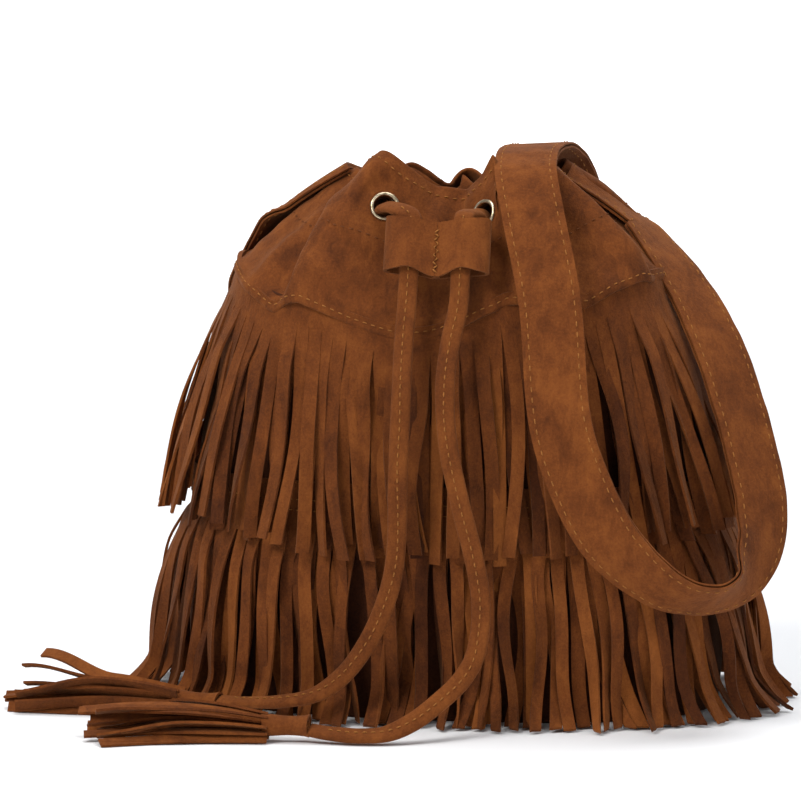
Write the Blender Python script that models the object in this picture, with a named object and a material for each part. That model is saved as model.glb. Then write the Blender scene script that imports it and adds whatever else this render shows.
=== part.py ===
# Fringed suede drawstring bag, standing on its base with the mouth gathered.
# Metres, +Z up, front towards -Y, origin at the middle of the base on the floor.

import math

import bpy
import numpy as np
from mathutils import Matrix

# Body of the bag: superellipse plans that swell to a belly and close in to the yoke seam
base_half_width = 0.124
base_half_depth = 0.072
belly_half_width = 0.128
belly_half_depth = 0.077
belly_height = 0.075
seam_half_width = 0.102
seam_half_depth = 0.067
seam_height = 0.186
seam_side_rise = 0.020
plan_power = 2.5
slouch_left = 0.004

# Gathered mouth
rim_half_width = 0.043
rim_half_depth = 0.028
rim_height = 0.246
yoke_bulge = 0.003
# Each fold of the gathers: direction in degrees, half width in degrees, how far it stands out, how far it rises
folds = (
    (-132.0, 30.0, 0.010, 0.013),
    (-60.0, 18.0, 0.010, 0.012),
    (-18.0, 19.0, 0.010, 0.011),
    (18.0, 16.0, 0.007, 0.008),
    (56.0, 20.0, 0.009, 0.004),
    (97.0, 19.0, 0.009, 0.009),
    (139.0, 20.0, 0.009, 0.006),
    (184.0, 20.0, 0.008, 0.007),
)

# Layers, from the outside in
clearance = 0.0003
fringe_thickness = 0.0012
shell_thickness = 0.0014
yoke_thickness = 0.0016
lining_thickness = 0.0006
base_thickness = 0.0030
facing_thickness = 0.0012
seam_overlap = 0.05
seam_ease = 0.0004
facing_ease = 0.0011
facing_top = 0.985
facing_bottom = 0.52
tunnel_depth = 0.0105
lining_top = 0.505

# Fringe tiers: strips, the share of each pitch that is suede, and where each tier is cut and ends
upper_strips = 70
lower_strips = 76
strip_share = 0.90
upper_cut_below_seam = 0.011
upper_tip_height = 0.079
lower_band_top = 0.108
lower_cut_height = 0.094
lower_tip_height = 0.0022
strip_layer = 0.0021
upper_band_gap = clearance + 0.6 * yoke_thickness
# The girth of the superellipse plan over that of a circle with the same mean square radius
girth_factor = 1.04
upper_tip_jitter = 0.005
upper_flare_front = 0.0065
upper_flare_side = 0.014
lower_flare_front = 0.0085
lower_flare_side = 0.016
floor_splay = 0.008
right_flare_share = 0.45

# Drawstring, its eyelets and keeper
eyelet_height_share = 0.72
eyelet_left_direction = -123.0
eyelet_right_direction = -67.0
eyelet_bore_radius = 0.0050
eyelet_barrel_radius = 0.0056
eyelet_flange_radius = 0.0071
eyelet_flange_height = 0.0011
eyelet_flat_radius = 0.0125
washer_radius = 0.0075
washer_thickness = 0.0006
cord_radius = 0.0030
hem_cord_radius = 0.0018
hem_cord_fold_share = 0.20
hem_cord_start = 0.045
hem_cord_drop = 0.05
cord_inside = 0.0034
cord_outside = 0.0042
cord_turn = 0.0085
cord_lift = (0.0, -0.0012, 0.0030)
cord_seat_gap = 1.7 * clearance
bore_cut_inside = 0.0035
bore_cut_outside = 0.0030
keeper_width = 0.050
keeper_height = 0.023
keeper_thickness = 0.0150
keeper_wall = 0.0018
keeper_waist = 0.0050
keeper_centre = (0.0, -0.0690, 0.2240)
keeper_tilt = math.radians(20.0)
keeper_travel = 0.016
left_channel = -0.0125
right_channel = 0.0118
# How far the keeper's curved front wall stands back where the cords lie on it, and how far above it they turn
keeper_bend = 0.0005
keeper_lead = 0.0010

# Tassels
tassel_strips = 9
tassel_head_radius = 0.0062
tassel_head_length = 0.022
tassel_strip_length = 0.088
tassel_wall = 0.0018
# How the head swells along its length: share of the length, share of the radius
tassel_head_shape = ((0.0, 1.05), (0.35, 0.86), (1.0, 1.0))
tassel_strip_share = 0.76
tassel_strip_half_width = 0.0023
tassel_shorter = 0.06
tassel_fan = 0.004
tassel_fan_growth = 0.012
tassel_flatten = 0.55
tassel_arch = 0.004
tassel_lowest = 0.0012
tassel_layers = 0.0030
tassel_underside = 0.0006

# Strap
strap_width = 0.029
strap_ply = 0.0014
strap_left_direction = 184.0
strap_right_direction = 18.0
# The sewn ends: share of the way from the seam to the rim, and how far more the strap stands off there
strap_sewn_rows = ((0.95, 0.0), (0.75, 0.0002), (0.48, 0.0022))

# Rows of the wall, as shares of the height to the seam; above 1, of the way on to the rim
base_row = 0.002
foot_row = 0.02
belly_row = 0.60

# Grid counts
fine_columns = 64
coarse_columns = 32

suede_light = (0.27, 0.105, 0.032)
suede_mid = (0.22, 0.080, 0.024)
suede_dark = (0.16, 0.055, 0.018)
lining_brown = (0.05, 0.028, 0.016)
old_brass = (0.62, 0.53, 0.38)


def material(name, colour, roughness, metallic=0.0):
    made = bpy.data.materials.new(name)
    made.use_nodes = True
    shader = made.node_tree.nodes["Principled BSDF"]
    shader.inputs["Base Color"].default_value = (*colour, 1.0)
    shader.inputs["Roughness"].default_value = roughness
    shader.inputs["Metallic"].default_value = metallic
    made.diffuse_color = (*colour, 1.0)
    return made


def add_mesh(name, points, faces, finish):
    mesh = bpy.data.meshes.new(name)
    mesh.from_pydata([tuple(map(float, p)) for p in points], [], faces)
    mesh.materials.append(finish)
    mesh.validate()
    made = bpy.data.objects.new(name, mesh)
    bpy.context.scene.collection.objects.link(made)
    return made


def smooth_step(x):
    x = np.clip(x, 0.0, 1.0)
    return x * x * (3.0 - 2.0 * x)


# The bag's surface. u goes once round from the front centre towards +X, h is 0 at the base, 1 at the yoke seam
# and 2 at the rim.


def plan_radius(direction, half_width, half_depth, power):
    across = np.abs(np.cos(direction)) / half_width
    along = np.abs(np.sin(direction)) / half_depth
    return (across**power + along**power) ** (-1.0 / power)


def directions_by_arc():
    """Directions at equal steps of arc round the belly, so that columns and strips keep one width."""
    direction = np.linspace(-0.5 * np.pi, 1.5 * np.pi, 1441)
    radius = plan_radius(direction, belly_half_width, belly_half_depth, plan_power)
    x = radius * np.cos(direction)
    y = radius * np.sin(direction)
    arc = np.concatenate([[0.0], np.cumsum(np.hypot(np.diff(x), np.diff(y)))])
    return arc / arc[-1], direction


ARC_SHARE, ARC_DIRECTION = directions_by_arc()


def direction_at(u):
    turns = np.floor(u)
    return np.interp(u - turns, ARC_SHARE, ARC_DIRECTION) + 2.0 * np.pi * turns


def share_of(degrees):
    """The u of a direction given in degrees."""
    wanted = math.radians((degrees + 90.0) % 360.0 - 90.0)
    return float(np.interp(wanted, ARC_DIRECTION, ARC_SHARE))


def seam_level(u):
    return seam_height + seam_side_rise * 0.5 * (1.0 - np.cos(4.0 * np.pi * u))


def body_point(u, z):
    """Outer surface below the seam, at height z."""
    top = seam_height + seam_side_rise
    low = np.sin(0.5 * np.pi * np.clip(z / belly_height, 0.0, 1.0))
    high = 1.0 - np.cos(0.5 * np.pi * np.clip((z - belly_height) / (top - belly_height), 0.0, 1.0))
    half_width = base_half_width + (belly_half_width - base_half_width) * low
    half_width = half_width - (belly_half_width - seam_half_width) * high
    half_depth = base_half_depth + (belly_half_depth - base_half_depth) * low
    half_depth = half_depth - (belly_half_depth - seam_half_depth) * high
    direction = direction_at(u)
    radius = plan_radius(direction, half_width, half_depth, plan_power)
    x = radius * np.cos(direction) - slouch_left * (z / top) ** 2
    return np.stack([x, radius * np.sin(direction), z + 0.0 * radius], axis=-1)


def rim_point(u, fold_share):
    """The gathered edge: an ellipse with each fold as a rounded bump that stands out and up."""
    direction = direction_at(u)
    radius = plan_radius(direction, rim_half_width, rim_half_depth, 2.0)
    rise = np.zeros_like(radius)
    for centre, half, out, up in folds:
        away = np.abs((np.degrees(direction) - centre + 180.0) % 360.0 - 180.0)
        bump = np.cos(0.5 * np.pi * np.clip(away / half, 0.0, 1.0)) ** 2
        radius = radius + fold_share * out * bump
        rise = rise + up * bump
    return np.stack([radius * np.cos(direction), radius * np.sin(direction), rim_height + rise], axis=-1)


def plain_skin(u, h, fold_share=1.0):
    u, h = np.broadcast_arrays(np.asarray(u, float), np.asarray(h, float))
    below = body_point(u, seam_level(u) * np.clip(h, 0.0, 1.0))
    v = np.clip(h - 1.0, 0.0, 1.2)[..., None]
    direction = direction_at(u)
    swell = np.stack([np.cos(direction), np.sin(direction), 0.6 + 0.0 * direction], axis=-1)
    gathered = (rim_point(u, fold_share) - below) * v + yoke_bulge * np.sin(np.pi * np.clip(v, 0.0, 1.0)) * swell
    return below + gathered


def frame_at(u, h, surface, fold_share=1.0):
    """Point and outward unit normal of a surface."""
    step = 1e-3
    here = surface(u, h, fold_share)
    along = surface(np.asarray(u) + step, h, fold_share) - surface(np.asarray(u) - step, h, fold_share)
    up = surface(u, np.asarray(h) + step, fold_share) - surface(u, np.asarray(h) - step, fold_share)
    normal = np.cross(along, up)
    return here, normal / np.linalg.norm(normal, axis=-1, keepdims=True)


def eyelet_frames():
    made = []
    for degrees in (eyelet_left_direction, eyelet_right_direction):
        made.append(frame_at(share_of(degrees), 1.0 + eyelet_height_share, plain_skin))
    return made


EYELETS = eyelet_frames()


def skin(u, h, fold_share=1.0):
    """The bag's surface, pressed flat where an eyelet sits."""
    here = plain_skin(u, h, fold_share)
    for centre, normal in EYELETS:
        away = here - centre
        near = 1.0 - smooth_step((np.linalg.norm(away, axis=-1) - eyelet_flat_radius) / eyelet_flat_radius)
        height = (away * normal).sum(axis=-1)
        here = here - normal * (height * near)[..., None]
    return here


def layer(u, h, inward, fold_share=1.0, surface=skin):
    """The surface moved inwards along its normal."""
    here, normal = frame_at(u, h, surface, fold_share)
    return here - normal * np.asarray(inward)[..., None]


def ring_wall(name, outer, inner, finish):
    """A closed wall between two grids of rows by columns that go right round, rows from the top down."""
    rows, columns = outer.shape[:2]
    points = np.concatenate([outer.reshape(-1, 3), inner.reshape(-1, 3)])
    inside = rows * columns
    faces = []
    for c in range(columns):
        d = (c + 1) % columns
        for r in range(rows - 1):
            a, b = r * columns, (r + 1) * columns
            faces.append((a + c, b + c, b + d, a + d))
            faces.append((inside + a + c, inside + a + d, inside + b + d, inside + b + c))
        last = (rows - 1) * columns
        faces.append((c, d, inside + d, inside + c))
        faces.append((last + d, last + c, inside + last + c, inside + last + d))
    return add_mesh(name, points, faces, finish)


def around(columns):
    return np.arange(columns) / columns


def make_base(finish):
    u = around(coarse_columns)
    inset = yoke_thickness + shell_thickness + 3.0 * clearance
    edge = layer(u, np.full(coarse_columns, base_row), np.full(coarse_columns, inset))
    low = edge.copy()
    low[:, 2] = 0.0
    high = edge.copy()
    high[:, 2] = base_thickness
    count = coarse_columns
    faces = [tuple(range(count - 1, -1, -1)), tuple(range(count, 2 * count))]
    for c in range(count):
        d = (c + 1) % count
        faces.append((c, d, count + d, count + c))
    return add_mesh("base_panel", np.concatenate([low, high]), faces, finish)


def flat_bottom(grid, z):
    grid[-1, :, 2] = z
    return grid


def make_shell(finish):
    u, h = np.meshgrid(around(coarse_columns), [1.0 + seam_overlap, 1.0, belly_row, foot_row])
    outer_inset = yoke_thickness + clearance + np.where(h > 1.0, seam_ease, 0.0)
    outer = flat_bottom(layer(u, h, outer_inset), 0.0)
    inner = flat_bottom(layer(u, h, outer_inset + shell_thickness), 0.0)
    return ring_wall("body_shell", outer, inner, finish)


def make_lining(finish):
    """An open bag: wall and flat bottom, both of one thickness."""
    u, h = np.meshgrid(around(coarse_columns), [1.0 + lining_top, 1.0 + seam_overlap, 1.0, belly_row, foot_row])
    inset = yoke_thickness + shell_thickness + 3.0 * clearance + np.where(h > 1.0, seam_ease, 0.0)
    outer = flat_bottom(layer(u, h, inset), base_thickness + clearance)
    inner = layer(u, h, inset + lining_thickness)
    inner = flat_bottom(inner, base_thickness + clearance + lining_thickness)
    rows, columns = outer.shape[:2]
    points = np.concatenate([outer.reshape(-1, 3), inner.reshape(-1, 3)])
    inside = rows * columns
    faces = []
    for c in range(columns):
        d = (c + 1) % columns
        for r in range(rows - 1):
            a, b = r * columns, (r + 1) * columns
            faces.append((a + c, b + c, b + d, a + d))
            faces.append((inside + a + c, inside + a + d, inside + b + d, inside + b + c))
        faces.append((c, d, inside + d, inside + c))
    last = (rows - 1) * columns
    faces.append(tuple(last + c for c in range(columns - 1, -1, -1)))
    faces.append(tuple(inside + last + c for c in range(columns)))
    return add_mesh("lining", points, faces, finish)


def make_yoke(finish):
    u, h = np.meshgrid(around(fine_columns), [2.0, 1.92, 1.83, 1.72, 1.61, 1.40, 1.0])
    outer = layer(u, h, np.zeros(u.shape))
    inner = layer(u, h, np.full(u.shape, yoke_thickness))
    return ring_wall("yoke", outer, inner, finish)


def make_facing(finish):
    """The strip sewn inside the rim: it touches the yoke at both edges and leaves the cord's tunnel between."""
    rows = (facing_top, 0.90, 0.64, facing_bottom)
    depths = (facing_ease, tunnel_depth, tunnel_depth, facing_ease)
    shares = (1.0, 0.4, 0.4, 1.0)
    surfaces = (skin, plain_skin, plain_skin, skin)
    outer, inner = [], []
    u = around(fine_columns)
    for v, depth, share, surface in zip(rows, depths, shares, surfaces):
        inset = yoke_thickness + clearance + depth
        level = np.full(fine_columns, 1.0 + v)
        outer.append(layer(u, level, np.full(fine_columns, inset), share, surface))
        inner.append(layer(u, level, np.full(fine_columns, inset + facing_thickness), share, surface))
    return ring_wall("hem_facing", np.array(outer), np.array(inner), finish)


# Cut fringe: a band that goes right round, with strips that hang from its lower edge


def cut_sheet(name, band, strip, finish):
    """band and strip give corner grids: axis 0 rows from the top down, axis 1 strips, axis 2 left or right edge,
    axis 3 outer or inner face. strip's rows start below band's last row."""
    grid = np.concatenate([band, strip])
    count = grid.shape[1]
    points = grid.reshape(-1, 3)

    def at(row, column, edge, face):
        return ((row * count + column % count) * 2 + edge) * 2 + face

    faces = []
    band_rows = len(band)
    for c in range(count):
        for r in range(band_rows - 1):
            for a, b in (((c, 0), (c, 1)), ((c, 1), (c + 1, 0))):
                faces.append((at(r, *a, 0), at(r + 1, *a, 0), at(r + 1, *b, 0), at(r, *b, 0)))
                faces.append((at(r, *b, 1), at(r + 1, *b, 1), at(r + 1, *a, 1), at(r, *a, 1)))
        for a, b in (((c, 0), (c, 1)), ((c, 1), (c + 1, 0))):
            faces.append((at(0, *a, 0), at(0, *b, 0), at(0, *b, 1), at(0, *a, 1)))
        low = band_rows - 1
        faces.append((at(low, c, 1, 0), at(low, c, 1, 1), at(low, c + 1, 0, 1), at(low, c + 1, 0, 0)))
        for r in range(low, len(grid) - 1):
            faces.append((at(r, c, 0, 0), at(r + 1, c, 0, 0), at(r + 1, c, 1, 0), at(r, c, 1, 0)))
            faces.append((at(r, c, 1, 1), at(r + 1, c, 1, 1), at(r + 1, c, 0, 1), at(r, c, 0, 1)))
            faces.append((at(r, c, 0, 1), at(r + 1, c, 0, 1), at(r + 1, c, 0, 0), at(r, c, 0, 0)))
            faces.append((at(r, c, 1, 0), at(r + 1, c, 1, 0), at(r + 1, c, 1, 1), at(r, c, 1, 1)))
        end = len(grid) - 1
        faces.append((at(end, c, 0, 0), at(end, c, 0, 1), at(end, c, 1, 1), at(end, c, 1, 0)))
    return add_mesh(name, points, faces, finish)


def side_share(u):
    """0 at the front and back, 1 at the left side, less at the right, where the strap presses on the strips."""
    across = np.cos(direction_at(u))
    return np.abs(across) ** 3 * np.where(across > 0.0, right_flare_share, 1.0)


def sway(u):
    """How far a strip's tip leans sideways: slow waves round the bag, so that neighbours hang alike."""
    return 0.0065 * np.sin(2.0 * np.pi * (3.0 * u + 0.12)) + 0.0038 * np.sin(2.0 * np.pi * (8.0 * u + 0.4))


def wall_frame(u, z):
    """Point on the body's surface at height z, with unit vectors outwards and along +u, both level."""
    here = body_point(u, z)
    ahead = body_point(u + 1e-3, z)
    behind = body_point(u - 1e-3, z)
    along = ahead - behind
    along[..., 2] = 0.0
    along = along / np.linalg.norm(along, axis=-1, keepdims=True)
    out = np.stack([along[..., 1], -along[..., 0], 0.0 * along[..., 0]], axis=-1)
    return here, out, along


def make_fringe(name, strips, band_top, cut, tip, flare_front, flare_side, splay, downs, jitter, finish):
    """band_top, cut and tip are heights as functions of u. Strips hang in two layers, odd ones further out."""
    pitch = 1.0 / strips
    middle = (np.arange(strips) + 0.5) * pitch
    lefts = middle - 0.5 * pitch * strip_share
    rights = middle + 0.5 * pitch * strip_share
    edges = np.stack([lefts, rights], axis=1)
    band = []
    for level in (band_top(edges), cut(edges)):
        here, out, _ = wall_frame(edges, level)
        band.append(np.stack([here, here - out * fringe_thickness], axis=2))
    girth = 2.0 * np.pi * math.sqrt(0.5 * (belly_half_width**2 + belly_half_depth**2)) * girth_factor
    half = 0.5 * pitch * strip_share * girth
    rows = []
    odd = (np.arange(strips) % 2).astype(float)
    flare = flare_front + (flare_side - flare_front) * side_share(middle)
    reach = tip(middle) + jitter * (0.5 + 0.5 * np.sin(5.1 * np.arange(strips)))
    for down in downs:
        fall = min(down, 1.0)
        z = cut(middle) + (reach - cut(middle)) * fall
        here, out, along = wall_frame(middle, z)
        stand = flare * fall**1.3 + strip_layer * odd * smooth_step(4.0 * down)
        stand = stand + splay * smooth_step((down - 0.8) * 5.0)
        centre = here + out * stand[:, None] + along * (sway(middle) * fall**1.6)[:, None]
        left = centre - along * half
        right = centre + along * half
        edge = np.stack([left, right], axis=1)
        inner = edge - out[:, None, :] * fringe_thickness
        if splay > 0.0 and down >= 1.0:
            inner[..., 2] -= 0.5 * fringe_thickness
            edge[..., 2] += 0.5 * fringe_thickness
        rows.append(np.stack([edge, inner], axis=2))
    return cut_sheet(name, np.array(band), np.array(rows), finish)


def make_upper_fringe(finish):
    return make_fringe(
        "fringe_upper",
        upper_strips,
        lambda u: seam_level(u) - upper_band_gap,
        lambda u: seam_level(u) - upper_cut_below_seam,
        lambda u: upper_tip_height + 0.0 * u,
        upper_flare_front,
        upper_flare_side,
        0.0,
        (0.34, 0.70, 1.0),
        upper_tip_jitter,
        finish,
    )


def make_lower_fringe(finish):
    return make_fringe(
        "fringe_lower",
        lower_strips,
        lambda u: lower_band_top + 0.0 * u,
        lambda u: lower_cut_height + 0.0 * u,
        lambda u: lower_tip_height + 0.0 * u,
        lower_flare_front,
        lower_flare_side,
        floor_splay,
        (0.40, 0.86, 1.0),
        0.0,
        finish,
    )


# Hardware


def turned(name, profile, count, finish):
    """A ring turned round +Z: profile is a closed loop of (radius, height) points."""
    turn = np.arange(count) * 2.0 * np.pi / count
    points = []
    for radius, height in profile:
        points.append(np.stack([radius * np.cos(turn), radius * np.sin(turn), np.full(count, height)], axis=-1))
    rows = len(profile)
    faces = []
    for r in range(rows):
        s = (r + 1) % rows
        for c in range(count):
            d = (c + 1) % count
            faces.append((r * count + c, r * count + d, s * count + d, s * count + c))
    return add_mesh(name, np.concatenate(points), faces, finish)


def seat(made, centre, normal):
    """Puts an object's +Z along normal, at centre."""
    z = np.asarray(normal)
    x = np.cross([0.0, 0.0, 1.0], z)
    x = x / np.linalg.norm(x)
    y = np.cross(z, x)
    rows = [(*row, place) for row, place in zip(np.stack([x, y, z], axis=1), centre)]
    made.matrix_basis = Matrix(rows + [(0, 0, 0, 1)])


def make_eyelets(finish, yoke):
    bore = eyelet_bore_radius
    barrel = eyelet_barrel_radius
    flange = eyelet_flange_radius
    back = -(yoke_thickness + clearance + washer_thickness)
    for side, (centre, normal) in zip(("left", "right"), EYELETS):
        profile = (
            (bore, back),
            (barrel, back),
            (barrel, clearance),
            (flange, clearance),
            (flange - 0.0002, 0.6 * eyelet_flange_height + clearance),
            (0.5 * (bore + flange), eyelet_flange_height + clearance),
            (bore, 0.5 * eyelet_flange_height + clearance),
        )
        seat(turned("eyelet_" + side, profile, 20, finish), centre, normal)
        hole = barrel + clearance
        top = -(yoke_thickness + clearance)
        ring = ((hole, back), (washer_radius, back), (washer_radius, top), (hole, top))
        seat(turned("eyelet_washer_" + side, ring, 20, finish), centre, normal)
        # The cutter bores the wall and clears the flange and the washer from any curve of the wall beside them
        lip = 0.5 * clearance
        wide = washer_radius + 2.0 * clearance
        spool = (
            (0.0, -bore_cut_inside),
            (wide, -bore_cut_inside),
            (wide, -yoke_thickness - lip),
            (hole, -yoke_thickness - lip),
            (hole, lip),
            (flange + clearance, lip),
            (flange + clearance, bore_cut_outside),
            (0.0, bore_cut_outside),
        )
        cutter = spun_cutter("eyelet_cutter_" + side, spool, 20, finish)
        seat(cutter, centre, normal)
        cut = yoke.modifiers.new("eyelet_hole_" + side, "BOOLEAN")
        cut.object = cutter
        cut.operation = "DIFFERENCE"
        cut.solver = "EXACT"


def spun_cutter(name, profile, count, finish):
    """A solid of revolution whose profile starts and ends on the axis."""
    turn = np.arange(count) * 2.0 * np.pi / count
    points = [np.array([[0.0, 0.0, profile[0][1]]])]
    for radius, height in profile[1:-1]:
        points.append(np.stack([radius * np.cos(turn), radius * np.sin(turn), np.full(count, height)], axis=-1))
    points.append(np.array([[0.0, 0.0, profile[-1][1]]]))
    faces = []
    rings = len(profile) - 2
    last = 1 + rings * count
    for c in range(count):
        d = (c + 1) % count
        faces.append((0, 1 + d, 1 + c))
        for r in range(rings - 1):
            a, b = 1 + r * count, 1 + (r + 1) * count
            faces.append((a + c, a + d, b + d, b + c))
        top = 1 + (rings - 1) * count
        faces.append((top + c, top + d, last))
    made = add_mesh(name, np.concatenate(points), faces, finish)
    made.hide_render = True
    made.display_type = "WIRE"
    return made


def keeper_axis():
    """Unit vector along which the keeper slides: down the cords and away from the bag."""
    return np.array([0.0, -math.sin(keeper_tilt), -math.cos(keeper_tilt)])


def make_keeper(finish):
    """One suede loop stitched through its middle, so its outline is a figure of eight with two channels."""
    half = 0.5 * keeper_width
    deep = 0.5 * keeper_thickness
    waist = 0.5 * keeper_waist
    steps = 9
    outline = []
    turn = np.linspace(0.0, 1.0, steps)
    right_x = half * turn
    lobe = waist + (deep - waist) * np.sin(np.pi * np.clip(turn / 0.96, 0.0, 1.0)) ** 0.7
    lobe[-1] = 0.0
    for sign_x, sign_y, order in ((1, 1, 1), (1, -1, -1), (-1, -1, 1), (-1, 1, -1)):
        part = [(sign_x * x, sign_y * y) for x, y in zip(right_x, lobe)][::order]
        outline += part[:-1]
    curve = bpy.data.curves.new("cord_keeper", "CURVE")
    curve.dimensions = "2D"
    curve.fill_mode = "BOTH"
    curve.extrude = 0.5 * keeper_height
    loops = [outline]
    for sign in (1, -1):
        channel = []
        left, right = waist, half - keeper_wall
        for k in range(14):
            angle = 2.0 * math.pi * k / 14
            x = 0.5 * (left + right) + 0.5 * (right - left) * math.cos(angle)
            wall = np.interp(x, right_x, lobe) - keeper_wall
            y = min(wall, (deep - keeper_wall)) * math.copysign(abs(math.sin(angle)) ** 0.6, math.sin(angle))
            channel.append((sign * x, y))
        loops.append(channel)
    for loop in loops:
        spline = curve.splines.new("POLY")
        spline.points.add(len(loop) - 1)
        for point, (x, y) in zip(spline.points, loop):
            point.co = (x, y, 0.0, 1.0)
        spline.use_cyclic_u = True
    curve.materials.append(finish)
    made = bpy.data.objects.new("cord_keeper", curve)
    bpy.context.scene.collection.objects.link(made)
    seat(made, keeper_centre, -keeper_axis())
    return made


# Cords, strap and tassels


def through(points, share):
    """A smooth curve through a route's points (Catmull-Rom), read at shares 0 to 1 of its length."""
    route = np.asarray(points, float)
    ends = np.concatenate([[2 * route[0] - route[1]], route, [2 * route[-1] - route[-2]]])
    t = np.linspace(0.0, 1.0, 24, endpoint=False)[:, None]
    dense = []
    for k in range(len(route) - 1):
        a, b, c, d = ends[k : k + 4]
        dense.append(
            0.5 * (2 * b + (c - a) * t + (2 * a - 5 * b + 4 * c - d) * t**2 + (3 * b - a - 3 * c + d) * t**3)
        )
    dense = np.concatenate(dense + [route[-1:]])
    length = np.concatenate([[0.0], np.cumsum(np.linalg.norm(np.diff(dense[:, :3], axis=0), axis=1))])
    wanted = np.asarray(share) * length[-1]
    return np.stack([np.interp(wanted, length, dense[:, k]) for k in range(dense.shape[1])], axis=-1), length[-1]


def make_tube(name, points, radius, resolution, finish):
    curve = bpy.data.curves.new(name, "CURVE")
    curve.dimensions = "3D"
    curve.bevel_depth = radius
    curve.bevel_resolution = resolution
    curve.use_fill_caps = True
    spline = curve.splines.new("POLY")
    spline.points.add(len(points) - 1)
    for point, place in zip(spline.points, points):
        point.co = (*map(float, place), 1.0)
    curve.materials.append(finish)
    made = bpy.data.objects.new(name, curve)
    bpy.context.scene.collection.objects.link(made)
    return made


def keeper_line(channel, along):
    """A point on a cord's line through the keeper, along metres below its middle. The keeper's front wall lies on
    the cords, so the line stands in front of the keeper's middle."""
    front = np.array([0.0, -math.cos(keeper_tilt), math.sin(keeper_tilt)])
    ahead = 0.5 * keeper_thickness - keeper_wall - keeper_bend - cord_radius - clearance
    return np.array(keeper_centre) + np.array([channel, 0.0, 0.0]) + front * ahead + keeper_axis() * along


def cord_seat(centre, normal):
    """The cord's middle in an eyelet, where its lower side lies on the bore."""
    down = np.array([0.0, 0.0, -1.0]) + normal * normal[2]
    down = down / np.linalg.norm(down)
    return centre + down * (eyelet_bore_radius - cord_radius - cord_seat_gap)


# The two free ends of the drawstring, from the keeper to their tassels
left_route = (
    (-0.0130, -0.0865, 0.1800),
    (-0.0128, -0.0945, 0.1560),
    (-0.0138, -0.0975, 0.1180),
    (-0.0140, -0.0990, 0.0900),
    (-0.0165, -0.1000, 0.0700),
    (-0.0235, -0.1000, 0.0500),
    (-0.0330, -0.1000, 0.0335),
    (-0.0430, -0.0995, 0.0225),
    (-0.0545, -0.0990, 0.0155),
    (-0.0710, -0.0965, 0.0118),
    (-0.0880, -0.0905, 0.0100),
    (-0.1010, -0.0850, 0.0090),
)
right_route = (
    (0.0090, -0.0860, 0.1820),
    (0.0078, -0.0940, 0.1620),
    (0.0100, -0.0980, 0.1360),
    (0.0160, -0.1000, 0.1090),
    (0.0235, -0.1020, 0.0810),
    (0.0268, -0.1045, 0.0600),
    (0.0250, -0.1090, 0.0400),
    (0.0190, -0.1145, 0.0280),
    (0.0100, -0.1210, 0.0190),
    (-0.0010, -0.1275, 0.0105),
    (-0.0130, -0.1325, 0.0052),
    (-0.0260, -0.1345, 0.0042),
    (-0.0390, -0.1340, 0.0048),
    (-0.0490, -0.1330, 0.0060),
)
left_tassel_heading = (-0.985, 0.170, 0.0)
right_tassel_heading = (-0.998, -0.060, 0.0)
tassel_rest = 0.0075


def cord_route(side):
    centre, normal = EYELETS[0] if side == "left" else EYELETS[1]
    centre = cord_seat(centre, normal)
    channel = left_channel if side == "left" else right_channel
    free = left_route if side == "left" else right_route
    half = 0.5 * keeper_height
    enter = keeper_line(channel, -half - keeper_lead)
    out = centre + normal * cord_turn
    start = [centre - normal * cord_inside, centre + normal * cord_outside]
    lift = 0.5 * (out + enter) + np.array(cord_lift)
    start += [lift, enter, keeper_line(channel, 0.0), keeper_line(channel, half)]
    start += [keeper_line(channel, half + keeper_travel)]
    return [tuple(p) for p in start] + list(free)


def tassel_place(side):
    """Where the tassel's cord end is, and the way its strips lie."""
    end = np.array(left_route[-1] if side == "left" else right_route[-1])
    heading = np.array(left_tassel_heading if side == "left" else right_tassel_heading)
    start = end + heading * clearance
    start[2] = tassel_rest
    return start, heading / np.linalg.norm(heading)


def make_cords(finish):
    for side in ("left", "right"):
        route = cord_route(side)
        points, _ = through(route, np.linspace(0.0, 1.0, 30))
        make_tube("drawstring_" + side, points, cord_radius, 2, finish)


def make_hem_cord(finish):
    """The hidden run of the same drawstring, from one eyelet right round inside the tunnel to the other."""
    first, last = share_of(eyelet_right_direction), share_of(eyelet_left_direction)
    u = np.linspace(first + hem_cord_start, last - hem_cord_start, 30)
    inset = yoke_thickness + hem_cord_radius + 2.0 * clearance
    level = 1.0 + eyelet_height_share - hem_cord_drop
    path = layer(u, np.full(30, level), np.full(30, inset), hem_cord_fold_share, plain_skin)
    depth = cord_inside + hem_cord_radius + 4.0 * clearance
    ends = [cord_seat(centre, normal) - normal * depth for centre, normal in EYELETS]
    route = np.array([ends[1]] + list(path) + [ends[0]])
    points, _ = through(route, np.linspace(0.0, 1.0, 42))
    make_tube("drawstring_in_hem", points, hem_cord_radius, 1, finish)


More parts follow.
